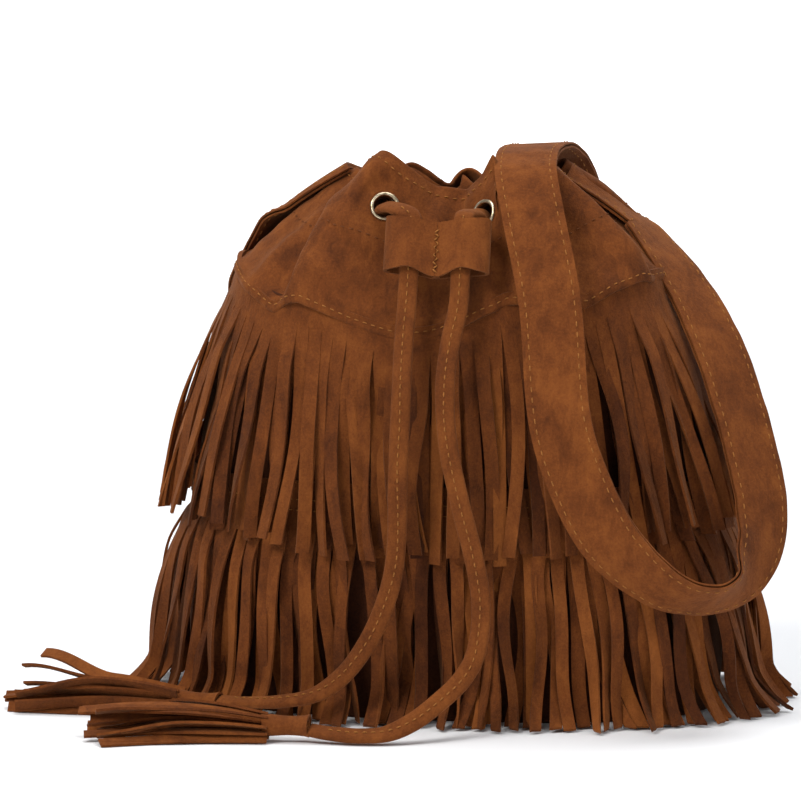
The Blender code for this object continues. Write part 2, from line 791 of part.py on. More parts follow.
def make_tassel(side, finish):
    """A cut sheet rolled up: a round head whose lower edge is cut into strips that lie along the floor."""
    start, heading = tassel_place(side)
    level = np.array([0.0, 0.0, 1.0])
    across = np.cross(level, heading)
    count = tassel_strips
    pitch = 2.0 * np.pi / count
    middle = (np.arange(count) + 0.5) * pitch
    half_pitch = 0.5 * tassel_strip_share * pitch
    edges = np.stack([middle - half_pitch, middle + half_pitch], axis=1)

    def ring(angle, radius, along, lift=0.0):
        spot = start + heading * along + level * lift
        return spot + (np.cos(angle)[..., None] * across + np.sin(angle)[..., None] * level) * radius

    band = []
    for along, radius in tassel_head_shape:
        outer = ring(edges, tassel_head_radius * radius, tassel_head_length * along)
        inner = ring(edges, tassel_head_radius * radius - tassel_wall, tassel_head_length * along)
        band.append(np.stack([outer, inner], axis=2))
    rows = []
    spread = np.cos(middle)
    above = np.sin(middle)
    for down in (0.35, 0.72, 1.0):
        along = tassel_head_length + tassel_strip_length * down * (1.0 - tassel_shorter * (np.arange(count) % 3))
        side_way = tassel_head_radius * spread + spread * (tassel_fan + tassel_fan_growth * down) * down
        rise = tassel_head_radius * above * (1.0 - tassel_flatten * down)
        floor = -tassel_rest + tassel_lowest + tassel_layers * (above * 0.5 + 0.5)
        high = np.maximum(rise + tassel_arch * np.sin(np.pi * down) * (above > 0), floor)
        centre = start + heading * along[:, None] + across * side_way[:, None] + level * high[:, None]
        turn = middle + 0.5 * np.pi
        flat = across * np.cos(turn)[:, None] + level * np.sin(turn)[:, None] * (1.0 - 0.5 * down)
        flat = flat / np.linalg.norm(flat, axis=1, keepdims=True)
        face = np.cross(flat, heading)
        left = centre - flat * tassel_strip_half_width
        right = centre + flat * tassel_strip_half_width
        edge = np.stack([left, right], axis=1)
        rows.append(np.stack([edge, edge - face[:, None, :] * fringe_thickness], axis=2))
    grid = np.array(rows)
    grid[..., 2] = np.maximum(grid[..., 2], tassel_underside)
    return cut_sheet("tassel_" + side, np.array(band), grid, finish)


# The strap's route between its two sewn ends: place, then the way its outer face looks
strap_back_route = (
    ((-0.108, 0.022, 0.2120), (-0.78, 0.35, 0.50)),
    ((-0.110, 0.054, 0.1800), (-0.72, 0.68, 0.10)),
    ((-0.086, 0.090, 0.1440), (-0.40, 0.90, -0.15)),
    ((-0.054, 0.102, 0.1220), (-0.10, 0.86, -0.50)),
    ((-0.022, 0.104, 0.1150), (0.00, 0.72, -0.70)),
    ((0.018, 0.103, 0.1260), (0.00, 0.90, -0.45)),
    ((0.038, 0.098, 0.1600), (0.05, 1.00, 0.00)),
    ((0.044, 0.084, 0.2000), (0.05, 0.95, 0.30)),
    ((0.042, 0.058, 0.2380), (0.00, 0.80, 0.60)),
    ((0.039, 0.028, 0.2630), (0.00, 0.35, 0.94)),
    ((0.037, -0.004, 0.2690), (0.00, -0.15, 0.99)),
    ((0.037, -0.036, 0.2620), (0.05, -0.70, 0.70)),
    ((0.043, -0.056, 0.2380), (0.12, -0.88, 0.46)),
    ((0.054, -0.075, 0.2000), (0.12, -0.92, 0.30)),
    ((0.061, -0.091, 0.1500), (0.10, -0.99, 0.10)),
    ((0.071, -0.096, 0.1200), (0.10, -0.99, 0.00)),
    ((0.086, -0.098, 0.0930), (0.05, -0.93, -0.30)),
    ((0.107, -0.094, 0.0730), (0.00, -0.75, -0.62)),
    ((0.127, -0.084, 0.0640), (0.10, -0.60, -0.80)),
    ((0.143, -0.069, 0.0680), (0.35, -0.66, -0.66)),
    ((0.150, -0.054, 0.0860), (0.50, -0.80, -0.30)),
    ((0.149, -0.045, 0.1050), (0.52, -0.85, 0.00)),
    ((0.143, -0.038, 0.1280), (0.52, -0.84, 0.10)),
    ((0.135, -0.030, 0.1520), (0.56, -0.80, 0.22)),
    ((0.124, -0.018, 0.1770), (0.68, -0.62, 0.38)),
    ((0.110, -0.004, 0.2000), (0.78, -0.30, 0.55)),
)


def strap_rows():
    """Route points with their face directions: sewn ends from the yoke, the rest as chosen."""
    stand = clearance + strap_ply + 0.5 * clearance
    rows = []
    for degrees, order in ((strap_left_direction, 1), (strap_right_direction, -1)):
        end = []
        for v, extra in strap_sewn_rows:
            here, normal = frame_at(share_of(degrees), 1.0 + v, skin)
            end.append((tuple(here + normal * (stand + extra)), tuple(normal)))
        rows.append(end[::order])
    return rows[0] + list(strap_back_route) + rows[1]


def make_strap(finish):
    rows = strap_rows()
    control = np.array([place + way for place, way in rows])
    control[:, 3:] /= np.linalg.norm(control[:, 3:], axis=1, keepdims=True)
    dense, _ = through(control, np.linspace(0.0, 1.0, 58))
    place, face = dense[:, :3], dense[:, 3:]
    along = np.gradient(place, axis=0)
    along /= np.linalg.norm(along, axis=1, keepdims=True)
    wide = np.cross(face, along)
    wide /= np.linalg.norm(wide, axis=1, keepdims=True)
    face = np.cross(along, wide)
    half = 0.5 * strap_width
    for name, low, high in (
        ("strap_outer_ply", 0.5 * clearance, 0.5 * clearance + strap_ply),
        ("strap_inner_ply", -0.5 * clearance - strap_ply, -0.5 * clearance),
    ):
        corners = np.stack(
            [
                place - wide * half + face * high,
                place + wide * half + face * high,
                place + wide * half + face * low,
                place - wide * half + face * low,
            ],
            axis=1,
        )
        count = len(place)
        faces = [(3, 2, 1, 0), tuple(4 * (count - 1) + k for k in range(4))]
        for r in range(count - 1):
            a, b = 4 * r, 4 * r + 4
            # Both broad faces split along the same diagonal, so that the plies stay apart where the strap twists
            faces += [(a, a + 1, b + 1, b), (a + 3, b + 3, b + 2, a + 2)]
            faces += [(a + 1, a + 2, b + 2, b + 1), (a + 3, a, b, b + 3)]
        add_mesh(name, corners.reshape(-1, 3), faces, finish)


def face_outwards():
    """Turns every closed mesh to face out, by the sign of its volume."""
    for made in bpy.context.scene.collection.objects:
        if made.type != "MESH":
            continue
        mesh = made.data
        mesh.calc_loop_triangles()
        volume = 0.0
        for triangle in mesh.loop_triangles:
            a, b, c = (mesh.vertices[k].co for k in triangle.vertices)
            volume += a.dot(b.cross(c))
        if volume < 0.0:
            mesh.flip_normals()


for old in list(bpy.data.objects):
    bpy.data.objects.remove(old, do_unlink=True)

MATERIALS = {
    "suede": material("suede", suede_mid, 0.92),
    "fringe": material("fringe_suede", suede_light, 0.92),
    "dark": material("shell_suede", suede_dark, 0.95),
    "lining": material("lining_cloth", lining_brown, 0.9),
    "brass": material("old_brass", old_brass, 0.35, 1.0),
}

make_base(MATERIALS["dark"])
make_shell(MATERIALS["dark"])
make_lining(MATERIALS["lining"])
yoke_object = make_yoke(MATERIALS["suede"])
make_facing(MATERIALS["suede"])
make_upper_fringe(MATERIALS["fringe"])
make_lower_fringe(MATERIALS["fringe"])
make_eyelets(MATERIALS["brass"], yoke_object)
make_keeper(MATERIALS["fringe"])
make_cords(MATERIALS["fringe"])
make_hem_cord(MATERIALS["fringe"])
make_tassel("left", MATERIALS["fringe"])
make_tassel("right", MATERIALS["fringe"])
make_strap(MATERIALS["suede"])
face_outwards()
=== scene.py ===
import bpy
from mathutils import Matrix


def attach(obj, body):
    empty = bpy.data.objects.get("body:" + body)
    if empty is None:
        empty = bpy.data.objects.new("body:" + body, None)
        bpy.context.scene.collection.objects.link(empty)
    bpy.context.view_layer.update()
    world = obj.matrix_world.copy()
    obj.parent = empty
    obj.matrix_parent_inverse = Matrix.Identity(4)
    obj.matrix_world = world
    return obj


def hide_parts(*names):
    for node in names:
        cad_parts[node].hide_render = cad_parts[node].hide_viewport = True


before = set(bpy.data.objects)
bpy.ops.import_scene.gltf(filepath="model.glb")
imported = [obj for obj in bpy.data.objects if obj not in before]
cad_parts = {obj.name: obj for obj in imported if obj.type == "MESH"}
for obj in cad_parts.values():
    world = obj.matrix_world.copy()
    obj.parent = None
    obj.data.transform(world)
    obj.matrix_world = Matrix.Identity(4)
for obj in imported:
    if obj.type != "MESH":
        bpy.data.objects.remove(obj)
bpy.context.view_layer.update()        # the imported meshes, each with its transform applied, and the other imported nodes removed

import math

import bpy
import numpy as np
from mathutils import Matrix, Vector

# The bag's form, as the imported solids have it: swelling superellipse plans up to the yoke seam, then the gathered
# yoke. Metres, front towards -Y.
bagForm = {
    "base": (0.124, 0.072),            # half width, half depth
    "belly": (0.128, 0.077, 0.075),    # half width, half depth, height
    "seam": (0.102, 0.067),
    "seamHeight": 0.186,
    "seamSideRise": 0.020,
    "planPower": 2.5,
    "slouchLeft": 0.004,
    "rim": (0.043, 0.028, 0.246),      # half width, half depth, height
    "yokeBulge": 0.003,
    # direction in degrees, half width in degrees, how far it stands out, how far it rises
    "folds": (
        (-132.0, 30.0, 0.010, 0.013),
        (-60.0, 18.0, 0.010, 0.012),
        (-18.0, 19.0, 0.010, 0.011),
        (18.0, 16.0, 0.007, 0.008),
        (56.0, 20.0, 0.009, 0.004),
        (97.0, 19.0, 0.009, 0.009),
        (139.0, 20.0, 0.009, 0.006),
        (184.0, 20.0, 0.008, 0.007),
    ),
    "eyeletDirections": (-123.0, -67.0),
    "eyeletHeight": 0.72,              # share of the way from the seam to the rim
    "eyeletFlat": 0.0125,
}


def smoothStep(x):
    # 3x squared less 2x cubed from 0 to 1, held beyond
    x = np.clip(x, 0.0, 1.0)
    return x * x * (3.0 - 2.0 * x)


def planRadius(direction, halfWidth, halfDepth, power):
    # superellipse: (|cos|/a)^p + (|sin|/b)^p, to the power -1/p
    across = np.abs(np.cos(direction)) / halfWidth
    along = np.abs(np.sin(direction)) / halfDepth
    return (across**power + along**power) ** (-1.0 / power)


def arcTable():
    # directions at equal steps of arc round the belly
    direction = np.linspace(-0.5 * np.pi, 1.5 * np.pi, 1441)
    radius = planRadius(direction, bagForm["belly"][0], bagForm["belly"][1], bagForm["planPower"])
    steps = np.hypot(np.diff(radius * np.cos(direction)), np.diff(radius * np.sin(direction)))
    arc = np.concatenate([[0.0], np.cumsum(steps)])
    return arc / arc[-1], direction, arc[-1]


arcShare, arcDirection, girth = arcTable()


def directionAt(u):
    # direction at a share of the girth, whole turns kept
    turns = np.floor(u)
    return np.interp(u - turns, arcShare, arcDirection) + 2.0 * np.pi * turns


def shareOf(degrees):
    # share of the girth at a direction
    wanted = math.radians((degrees + 90.0) % 360.0 - 90.0)
    return float(np.interp(wanted, arcDirection, arcShare))


def seamLevel(u):
    # the seam rises at both sides by half a cosine
    return bagForm["seamHeight"] + bagForm["seamSideRise"] * 0.5 * (1.0 - np.cos(4.0 * np.pi * u))


def bodyPoint(u, z):
    # outer surface below the seam: the plan grows by a sine up to the belly and closes by a cosine to the seam
    bellyWidth, bellyDepth, bellyHeight = bagForm["belly"]
    top = bagForm["seamHeight"] + bagForm["seamSideRise"]
    low = np.sin(0.5 * np.pi * np.clip(z / bellyHeight, 0.0, 1.0))
    high = 1.0 - np.cos(0.5 * np.pi * np.clip((z - bellyHeight) / (top - bellyHeight), 0.0, 1.0))
    halfWidth = bagForm["base"][0] + (bellyWidth - bagForm["base"][0]) * low
    halfWidth = halfWidth - (bellyWidth - bagForm["seam"][0]) * high
    halfDepth = bagForm["base"][1] + (bellyDepth - bagForm["base"][1]) * low
    halfDepth = halfDepth - (bellyDepth - bagForm["seam"][1]) * high
    direction = directionAt(u)
    radius = planRadius(direction, halfWidth, halfDepth, bagForm["planPower"])
    x = radius * np.cos(direction) - bagForm["slouchLeft"] * (z / top) ** 2
    return np.stack([x, radius * np.sin(direction), z + 0.0 * radius], axis=-1)


def rimPoint(u, foldShare=1.0):
    # an ellipse with each fold as a squared cosine bump that stands out and up
    direction = directionAt(u)
    radius = planRadius(direction, bagForm["rim"][0], bagForm["rim"][1], 2.0)
    rise = np.zeros_like(radius)
    for centre, half, out, up in bagForm["folds"]:
        away = np.abs((np.degrees(direction) - centre + 180.0) % 360.0 - 180.0)
        bump = np.cos(0.5 * np.pi * np.clip(away / half, 0.0, 1.0)) ** 2
        radius = radius + foldShare * out * bump
        rise = rise + up * bump
    return np.stack([radius * np.cos(direction), radius * np.sin(direction), bagForm["rim"][2] + rise], axis=-1)


def plainSkin(u, h, foldShare=1.0):
    # h from 0 at the base to 1 at the seam follows the body, from 1 to 2 runs straight to the rim with a small bulge
    u, h = np.broadcast_arrays(np.asarray(u, float), np.asarray(h, float))
    below = bodyPoint(u, seamLevel(u) * np.clip(h, 0.0, 1.0))
    v = np.clip(h - 1.0, 0.0, 1.2)[..., None]
    direction = directionAt(u)
    swell = np.stack([np.cos(direction), np.sin(direction), 0.6 + 0.0 * direction], axis=-1)
    bulge = bagForm["yokeBulge"] * np.sin(np.pi * np.clip(v, 0.0, 1.0)) * swell
    return below + (rimPoint(u, foldShare) - below) * v + bulge


def frameAt(u, h, surface, foldShare=1.0):
    # point and outward unit normal, from central differences
    step = 1e-3
    u, h = np.asarray(u, float), np.asarray(h, float)
    along = surface(u + step, h, foldShare) - surface(u - step, h, foldShare)
    up = surface(u, h + step, foldShare) - surface(u, h - step, foldShare)
    normal = np.cross(along, up)
    return surface(u, h, foldShare), normal / np.linalg.norm(normal, axis=-1, keepdims=True)


eyelets = []
for degrees in bagForm["eyeletDirections"]:
    eyelets.append(frameAt(shareOf(degrees), 1.0 + bagForm["eyeletHeight"], plainSkin))


def skin(u, h, foldShare=1.0):
    # the surface pressed flat round each eyelet
    here = plainSkin(u, h, foldShare)
    for centre, normal in eyelets:
        away = here - centre
        flat = bagForm["eyeletFlat"]
        near = 1.0 - smoothStep((np.linalg.norm(away, axis=-1) - flat) / flat)
        here = here - normal * ((away * normal).sum(axis=-1) * near)[..., None]
    return here


def unit(v):
    # each vector by its length
    return v / np.linalg.norm(v, axis=-1, keepdims=True)


def travelled(points):
    # running length along a path: the sum of its steps
    return np.concatenate([[0.0], np.cumsum(np.linalg.norm(np.diff(points, axis=0), axis=1))])


def wave(x, seed):
    # smooth noise of one coordinate: five sines of odd frequencies, from -1 to 1 or so
    phase = np.random.default_rng(seed).uniform(0.0, 2.0 * np.pi, 5)
    total = np.zeros_like(np.asarray(x, float))
    for k, rate in enumerate((1.0, 1.73, 2.91, 4.37, 6.83)):
        total = total + np.sin(rate * x + phase[k]) / (1.0 + 0.6 * k)
    return total / 1.9


def wrinkle(points, scale, seed):
    # smooth noise in space: three sines of warped coordinates
    phase = np.random.default_rng(seed).uniform(0.0, 2.0 * np.pi, 6)
    x, y, z = (points[..., k] * scale for k in range(3))
    a = np.sin(1.0 * x + 0.7 * z + phase[0] + 1.3 * np.sin(0.9 * y + 0.5 * z + phase[1]))
    b = np.sin(1.9 * y - 1.1 * x + phase[2] + 1.1 * np.sin(1.3 * z + phase[3]))
    c = np.sin(2.7 * z + 1.6 * x + phase[4] + 0.9 * np.sin(2.1 * y + phase[5]))
    return (a + 0.7 * b + 0.5 * c) / 2.2


# Meshes

def putMesh(name, points, quads, finish, body="bag", tone=None, sharp=None):
    # one mesh object from arrays; turned to face out by the sign of its volume; tone is a value for each point
    points = np.asarray(points, np.float64).reshape(-1, 3)
    quads = np.asarray(quads, np.int32).reshape(-1, 4)
    a, b, c, d = (points[quads[:, k]] for k in range(4))
    volume = (a * np.cross(b, c)).sum() + (a * np.cross(c, d)).sum()
    if volume < 0.0:
        quads = quads[:, ::-1]
    mesh = bpy.data.meshes.new(name)
    mesh.vertices.add(len(points))
    mesh.vertices.foreach_set("co", points.astype(np.float32).ravel())
    mesh.loops.add(quads.size)
    mesh.loops.foreach_set("vertex_index", np.ascontiguousarray(quads).ravel())
    mesh.polygons.add(len(quads))
    mesh.polygons.foreach_set("loop_start", np.arange(0, quads.size, 4, dtype=np.int32))
    mesh.update(calc_edges=True)
    mesh.polygons.foreach_set("use_smooth", np.ones(len(quads), bool))
    if sharp is not None:
        mesh.set_sharp_from_angle(angle=math.radians(sharp))
    layer = mesh.attributes.new("tone", "FLOAT", "POINT")
    layer.data.foreach_set("value", np.broadcast_to(0.5 if tone is None else tone, len(points)).astype(np.float32))
    mesh.materials.append(finish)
    made = bpy.data.objects.new(name, mesh)
    bpy.context.scene.collection.objects.link(made)
    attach(made, body)
    return made


def loopGrid(rows, columns, closeRows=True, closeColumns=True):
    # quads of a grid of points, row by row, closed round either way
    r = np.arange(rows if closeRows else rows - 1)
    c = np.arange(columns if closeColumns else columns - 1)
    r, c = np.meshgrid(r, c, indexing="ij")
    nextRow, nextColumn = (r + 1) % rows, (c + 1) % columns
    return np.stack(
        [r * columns + c, nextRow * columns + c, nextRow * columns + nextColumn, r * columns + nextColumn], axis=-1
    ).reshape(-1, 4)


def through(points, share):
    # a smooth curve through a route's points (Catmull-Rom), read at shares 0 to 1 of its length
    route = np.asarray(points, float)
    ends = np.concatenate([[2 * route[0] - route[1]], route, [2 * route[-1] - route[-2]]])
    t = np.linspace(0.0, 1.0, 24, endpoint=False)[:, None]
    dense = []
    for k in range(len(route) - 1):
        a, b, c, d = ends[k : k + 4]
        dense.append(0.5 * (2 * b + (c - a) * t + (2 * a - 5 * b + 4 * c - d) * t**2 + (3 * b - a - 3 * c + d) * t**3))
    dense = np.concatenate(dense + [route[-1:]])
    length = travelled(dense[:, :3])
    wanted = np.asarray(share) * length[-1]
    return np.stack([np.interp(wanted, length, dense[:, k]) for k in range(dense.shape[1])], axis=-1), length[-1]


def stripQuads(rows, count):
    # a tube of rows by an even number of points, closed by flat caps of quads
    k = np.arange(count // 2 - 1)
    cap = np.stack([k, k + 1, count - 2 - k, count - 1 - k], axis=-1)
    return np.concatenate([loopGrid(rows, count, closeRows=False), cap, cap[:, ::-1] + (rows - 1) * count])


def carried(profile, place, wide, face):
    # a profile of (across, out) points repeated at each place of a path
    return place[:, None] + wide[:, None] * profile[:, :1] + face[:, None] * profile[:, 1:]


def slabProfile(width, thickness, steps=6, round=0.35):
    # a flat section with rounded edges: equal numbers of points along the front and back faces
    x = np.linspace(-1.0, 1.0, steps)
    edge = thickness * 0.5 * (1.0 - round * np.abs(x) ** 8)
    front = np.stack([x * width * 0.5, edge], axis=-1)
    back = np.stack([x[::-1] * width * 0.5, -edge[::-1]], axis=-1)
    return np.concatenate([front, back])


stitchShape = {
    "places": np.array([0.0, 0.18, 0.5, 0.82, 1.0]),     # rings along a stitch
    "lifts": np.array([-1.6, 0.0, 0.3, 0.0, -1.6]),      # in radii; both ends dip into the suede
    "sizes": np.array([0.45, 0.95, 1.1, 0.95, 0.45]),    # in radii
    "sides": 6,
    "caps": ((0, 1, 2, 3), (0, 3, 4, 5), (27, 26, 25, 24), (29, 28, 27, 24)),
}
fineStitch = {"spacing": 0.0042, "share": 0.55, "radius": 0.00028}


def stitchRow(name, points, normals, finish, slot, spacing, share, radius, stand=0.0002, body="bag"):
    # thread stitches at even spacing, each a short bar of rings that fills a share of its pitch
    shape = stitchShape
    sides, rings = shape["sides"], len(shape["places"])
    points, normals = np.asarray(points, float), unit(np.asarray(normals, float))
    length = travelled(points)
    count = max(int(length[-1] / spacing), 1)
    begin = (np.arange(count) + 0.5 * (1.0 - share)) * length[-1] / count
    s = begin[:, None] + shape["places"] * share * length[-1] / count
    at, up = (np.stack([np.interp(s, length, row[:, k]) for k in range(3)], axis=-1) for row in (points, normals))
    up = unit(up)
    side = np.cross(unit(at[:, -1:] - at[:, :1]), up)
    at = at + up * (stand + radius * shape["lifts"])[:, None]
    turn = np.arange(sides)[:, None] * 2.0 * np.pi / sides
    size = radius * shape["sizes"][:, None, None]
    ring = at[:, :, None] + side[:, :, None] * np.cos(turn) * size + up[:, :, None] * np.sin(turn) * size
    one = np.concatenate([loopGrid(rings, sides, closeRows=False), shape["caps"]])
    quads = one[None] + (np.arange(count) * rings * sides)[:, None, None]
    made = putMesh(name, ring, quads, finish, body)
    return made


# Materials

def startMaterial(name, values):
    # a material whose shader sockets hold the given constants; its coordinates are the object's own
    made = bpy.data.materials.new(name)
    made.use_nodes = True
    nodes, links = made.node_tree.nodes, made.node_tree.links
    shader = nodes["Principled BSDF"]
    for socket, value in values.items():
        shader.inputs[socket].default_value = value
    return made, nodes, links, shader, nodes.new("ShaderNodeTexCoord").outputs["Object"]


def noiseNode(nodes, links, coords, scale, detail=3.0, roughness=0.55, distortion=0.0, stretch=None):
    # fractal noise, its coordinates stretched where asked
    made = nodes.new("ShaderNodeTexNoise")
    made.inputs["Scale"].default_value = scale
    made.inputs["Detail"].default_value = detail
    made.inputs["Roughness"].default_value = roughness
    made.inputs["Distortion"].default_value = distortion
    source = coords
    if stretch is not None:
        mapping = nodes.new("ShaderNodeMapping")
        mapping.inputs["Scale"].default_value = stretch
        links.new(coords, mapping.inputs["Vector"])
        source = mapping.outputs["Vector"]
    links.new(source, made.inputs["Vector"])
    return made.outputs["Fac"]


def mathNode(nodes, links, operation, a, b):
    # one sum or product of sockets or numbers
    made = nodes.new("ShaderNodeMath")
    made.operation = operation
    for socket, value in zip(made.inputs, (a, b)):
        if hasattr(value, "is_output"):
            links.new(value, socket)
        else:
            socket.default_value = value
    return made.outputs["Value"]


def rampNode(nodes, links, value, stops):
    # a colour for each value, straight between the stops
    made = nodes.new("ShaderNodeValToRGB")
    bar = made.color_ramp
    while len(bar.elements) < len(stops):
        bar.elements.new(0.5)
    for element, (place, colour) in zip(bar.elements, stops):
        element.position = place
        element.color = (*colour, 1.0)
    links.new(value, made.inputs["Fac"])
    return made.outputs["Color"]


def toneNode(nodes):
    # the value each point of a mesh carries
    made = nodes.new("ShaderNodeAttribute")
    made.attribute_name = "tone"
    return made.outputs["Fac"]


def addRelief(nodes, links, shader, height, strength, depth):
    # the height socket tilts the shading normal
    made = nodes.new("ShaderNodeBump")
    made.inputs["Strength"].default_value = strength
    made.inputs["Distance"].default_value = depth
    links.new(height, made.inputs["Height"])
    links.new(made.outputs["Normal"], shader.inputs["Normal"])


suedeLook = {
    "shades": (
        (0.10, (0.026, 0.0062, 0.0016)),
        (0.34, (0.066, 0.0168, 0.0036)),
        (0.54, (0.132, 0.0352, 0.0066)),
        (0.82, (0.235, 0.0700, 0.0132)),
    ),
    # scale, detail, roughness, distortion, stretch
    "blotch": (30.0, 3.0, 0.55, 0.8),
    "nap": (170.0, 4.0, 0.65, 0.5, (1.0, 1.0, 0.45)),
    "fibre": (900.0, 3.0, 0.7),
    "blotchShare": 0.50,
    "napShare": 0.50,
    "fibreShare": 0.34,
    "napRelief": 0.6,
    "reliefDepth": 0.0010,
    "shader": {
        "Roughness": 0.95,
        "Specular IOR Level": 0.18,
        "Sheen Weight": 0.10,
        "Sheen Roughness": 0.45,
        "Sheen Tint": (0.95, 0.50, 0.22, 1.0),
    },
}


def makeSuede(name, level=0.0, contrast=1.0, toneShare=0.5, bump=0.35):
    # brushed suede: level plus the shares of blotches, nap, fibres and the mesh's own tone, each about its middle
    look = suedeLook
    made, nodes, links, shader, coords = startMaterial(name, look["shader"])
    blotch, nap, fibre = (noiseNode(nodes, links, coords, *look[part]) for part in ("blotch", "nap", "fibre"))
    parts = (
        (blotch, look["blotchShare"] * contrast),
        (nap, look["napShare"] * contrast),
        (fibre, look["fibreShare"]),
        (toneNode(nodes), toneShare),
    )
    total = 0.5 + level - 0.5 * sum(share for _, share in parts)
    for part, share in parts:
        total = mathNode(nodes, links, "ADD", total, mathNode(nodes, links, "MULTIPLY", part, share))
    links.new(rampNode(nodes, links, total, look["shades"]), shader.inputs["Base Color"])
    height = mathNode(nodes, links, "ADD", mathNode(nodes, links, "MULTIPLY", nap, look["napRelief"]), fibre)
    addRelief(nodes, links, shader, height, bump, look["reliefDepth"])
    return made


threadLook = {"twist": (1600.0, 2.0, 0.5), "darkest": 0.62, "shader": {"Roughness": 0.8, "Specular IOR Level": 0.2}}


def makeThread(name, colour):
    # twisted thread: fine noise from a darker shade up to the colour
    made, nodes, links, shader, coords = startMaterial(name, threadLook["shader"])
    streak = noiseNode(nodes, links, coords, *threadLook["twist"])
    dark = tuple(threadLook["darkest"] * c for c in colour)
    links.new(rampNode(nodes, links, streak, ((0.3, dark), (0.65, colour))), shader.inputs["Base Color"])
    return made


brassLook = {
    "patina": (380.0, 4.0, 0.6),
    "scratches": (1500.0, 3.0, 0.7, 0.0, (1.0, 0.15, 1.0)),
    "shades": ((0.28, (0.20, 0.15, 0.085)), (0.50, (0.52, 0.43, 0.29)), (0.75, (0.78, 0.70, 0.54))),
    "roughness": (0.18, 0.25),    # least, and what the scratches add
}


def makeOldBrass(name):
    # pale antique brass: patina in clouds picks the shade, fine scratches add roughness
    look = brassLook
    made, nodes, links, shader, coords = startMaterial(name, {"Metallic": 1.0})
    patina = noiseNode(nodes, links, coords, *look["patina"])
    links.new(rampNode(nodes, links, patina, look["shades"]), shader.inputs["Base Color"])
    least, more = look["roughness"]
    rough = mathNode(nodes, links, "MULTIPLY", noiseNode(nodes, links, coords, *look["scratches"]), more)
    links.new(mathNode(nodes, links, "ADD", rough, least), shader.inputs["Roughness"])
    return made


clothLook = {
    "threads": 420.0,
    "waver": 0.6,
    "cloud": (45.0,),
    "weaveShare": 0.4,
    "shades": ((0.3, (0.045, 0.025, 0.015)), (0.9, (0.150, 0.085, 0.050))),
    "relief": (0.4, 0.0003),      # strength, depth
}


def makeLining(name):
    # plain woven cotton: the product of two crossed wave bands over soft clouds
    look = clothLook
    made, nodes, links, shader, coords = startMaterial(name, {"Roughness": 0.85})
    bands = []
    for direction in ("X", "Z"):
        band = nodes.new("ShaderNodeTexWave")
        band.bands_direction = direction
        band.inputs["Scale"].default_value = look["threads"]
        band.inputs["Distortion"].default_value = look["waver"]
        links.new(coords, band.inputs["Vector"])
        bands.append(band.outputs["Fac"])
    weave = mathNode(nodes, links, "MULTIPLY", *bands)
    cloud = noiseNode(nodes, links, coords, *look["cloud"])
    mixed = mathNode(nodes, links, "ADD", mathNode(nodes, links, "MULTIPLY", weave, look["weaveShare"]), cloud)
    links.new(rampNode(nodes, links, mixed, look["shades"]), shader.inputs["Base Color"])
    addRelief(nodes, links, shader, weave, *look["relief"])
    return made


yokeSuede = makeSuede("yokeSuede", level=0.02, contrast=1.15, bump=0.40)
fringeSuede = makeSuede("fringeSuede", level=0.03, contrast=0.95, toneShare=0.70, bump=0.45)
strapSuede = makeSuede("strapSuede", level=0.07, contrast=1.05, bump=0.40)
cordSuede = makeSuede("cordSuede", level=0.08, contrast=0.9, bump=0.42)
# painted shade: this suede is made far darker than the rest (level -0.30) to stand for the deep shadow behind and
# between the fringe strips
paintedShadeSuede = makeSuede("paintedShadeSuede", level=-0.30, contrast=0.6, bump=0.3)
seamThread = makeThread("seamThread", (0.33, 0.125, 0.026))
hemThread = makeThread("hemThread", (0.150, 0.045, 0.010))
oldBrass = makeOldBrass("oldBrass")
liningCloth = makeLining("liningCloth")
print("materials made")


# Camera and studio

studio = {
    "azimuth": 10.0,
    "elevation": 9.0,
    "distance": 5.0,
    "lens": 473.0,
    "frameCentre": (-0.0292, 0.1397),   # right of and above the origin, in the picture plane
    "floor": (-7.0, 6.2),               # nearest and farthest of the flat part
    "bend": 1.2,                        # radius where it turns up into the wall
    "wallTop": 7.0,
    "halfWidth": 8.0,
    "glowFrom": 0.7,                    # distance from the bag
    "glowOver": 1.8,
    "glow": 0.80,
    "glowColour": (1.0, 1.0, 0.985, 1.0),
    "shades": ((0.3, (0.86, 0.875, 0.90)), (0.7, (0.90, 0.905, 0.92))),
    "sky": (0.95, 0.97, 1.0, 1.0),
    "skyStrength": 0.30,
    # name, place, aimed at, size, power, colour
    "lights": (
        ("keyLight", (-1.2, -1.7, 2.1), (0.0, 0.0, 0.12), 1.3, 52.0, (1.0, 0.985, 0.96)),
        ("fillLight", (1.9, -1.7, 1.2), (0.0, 0.0, 0.12), 1.8, 14.0, (0.96, 0.98, 1.0)),
        ("topLight", (0.1, 0.2, 2.3), (0.0, 0.0, 0.12), 1.6, 34.0, (1.0, 1.0, 1.0)),
        ("backdropLight", (0.0, 2.6, 3.2), (0.0, 7.0, 1.2), 2.6, 60.0, (1.0, 1.0, 1.0)),
    ),
}


def makeCamera():
    # it stands back from the frame's centre along the line of sight of its azimuth and elevation
    a, e = math.radians(studio["azimuth"]), math.radians(studio["elevation"])
    right = Vector((math.cos(a), math.sin(a), 0.0))
    back = Vector((math.sin(a) * math.cos(e), -math.cos(a) * math.cos(e), math.sin(e)))
    up = back.cross(right)
    place = right * studio["frameCentre"][0] + up * studio["frameCentre"][1] + back * studio["distance"]
    data = bpy.data.cameras.new("camera")
    data.lens = studio["lens"]
    data.clip_start = 0.05
    made = bpy.data.objects.new("camera", data)
    made.matrix_world = Matrix([(right[k], up[k], back[k], place[k]) for k in range(3)] + [(0, 0, 0, 1)])
    bpy.context.scene.collection.objects.link(made)
    bpy.context.scene.camera = made


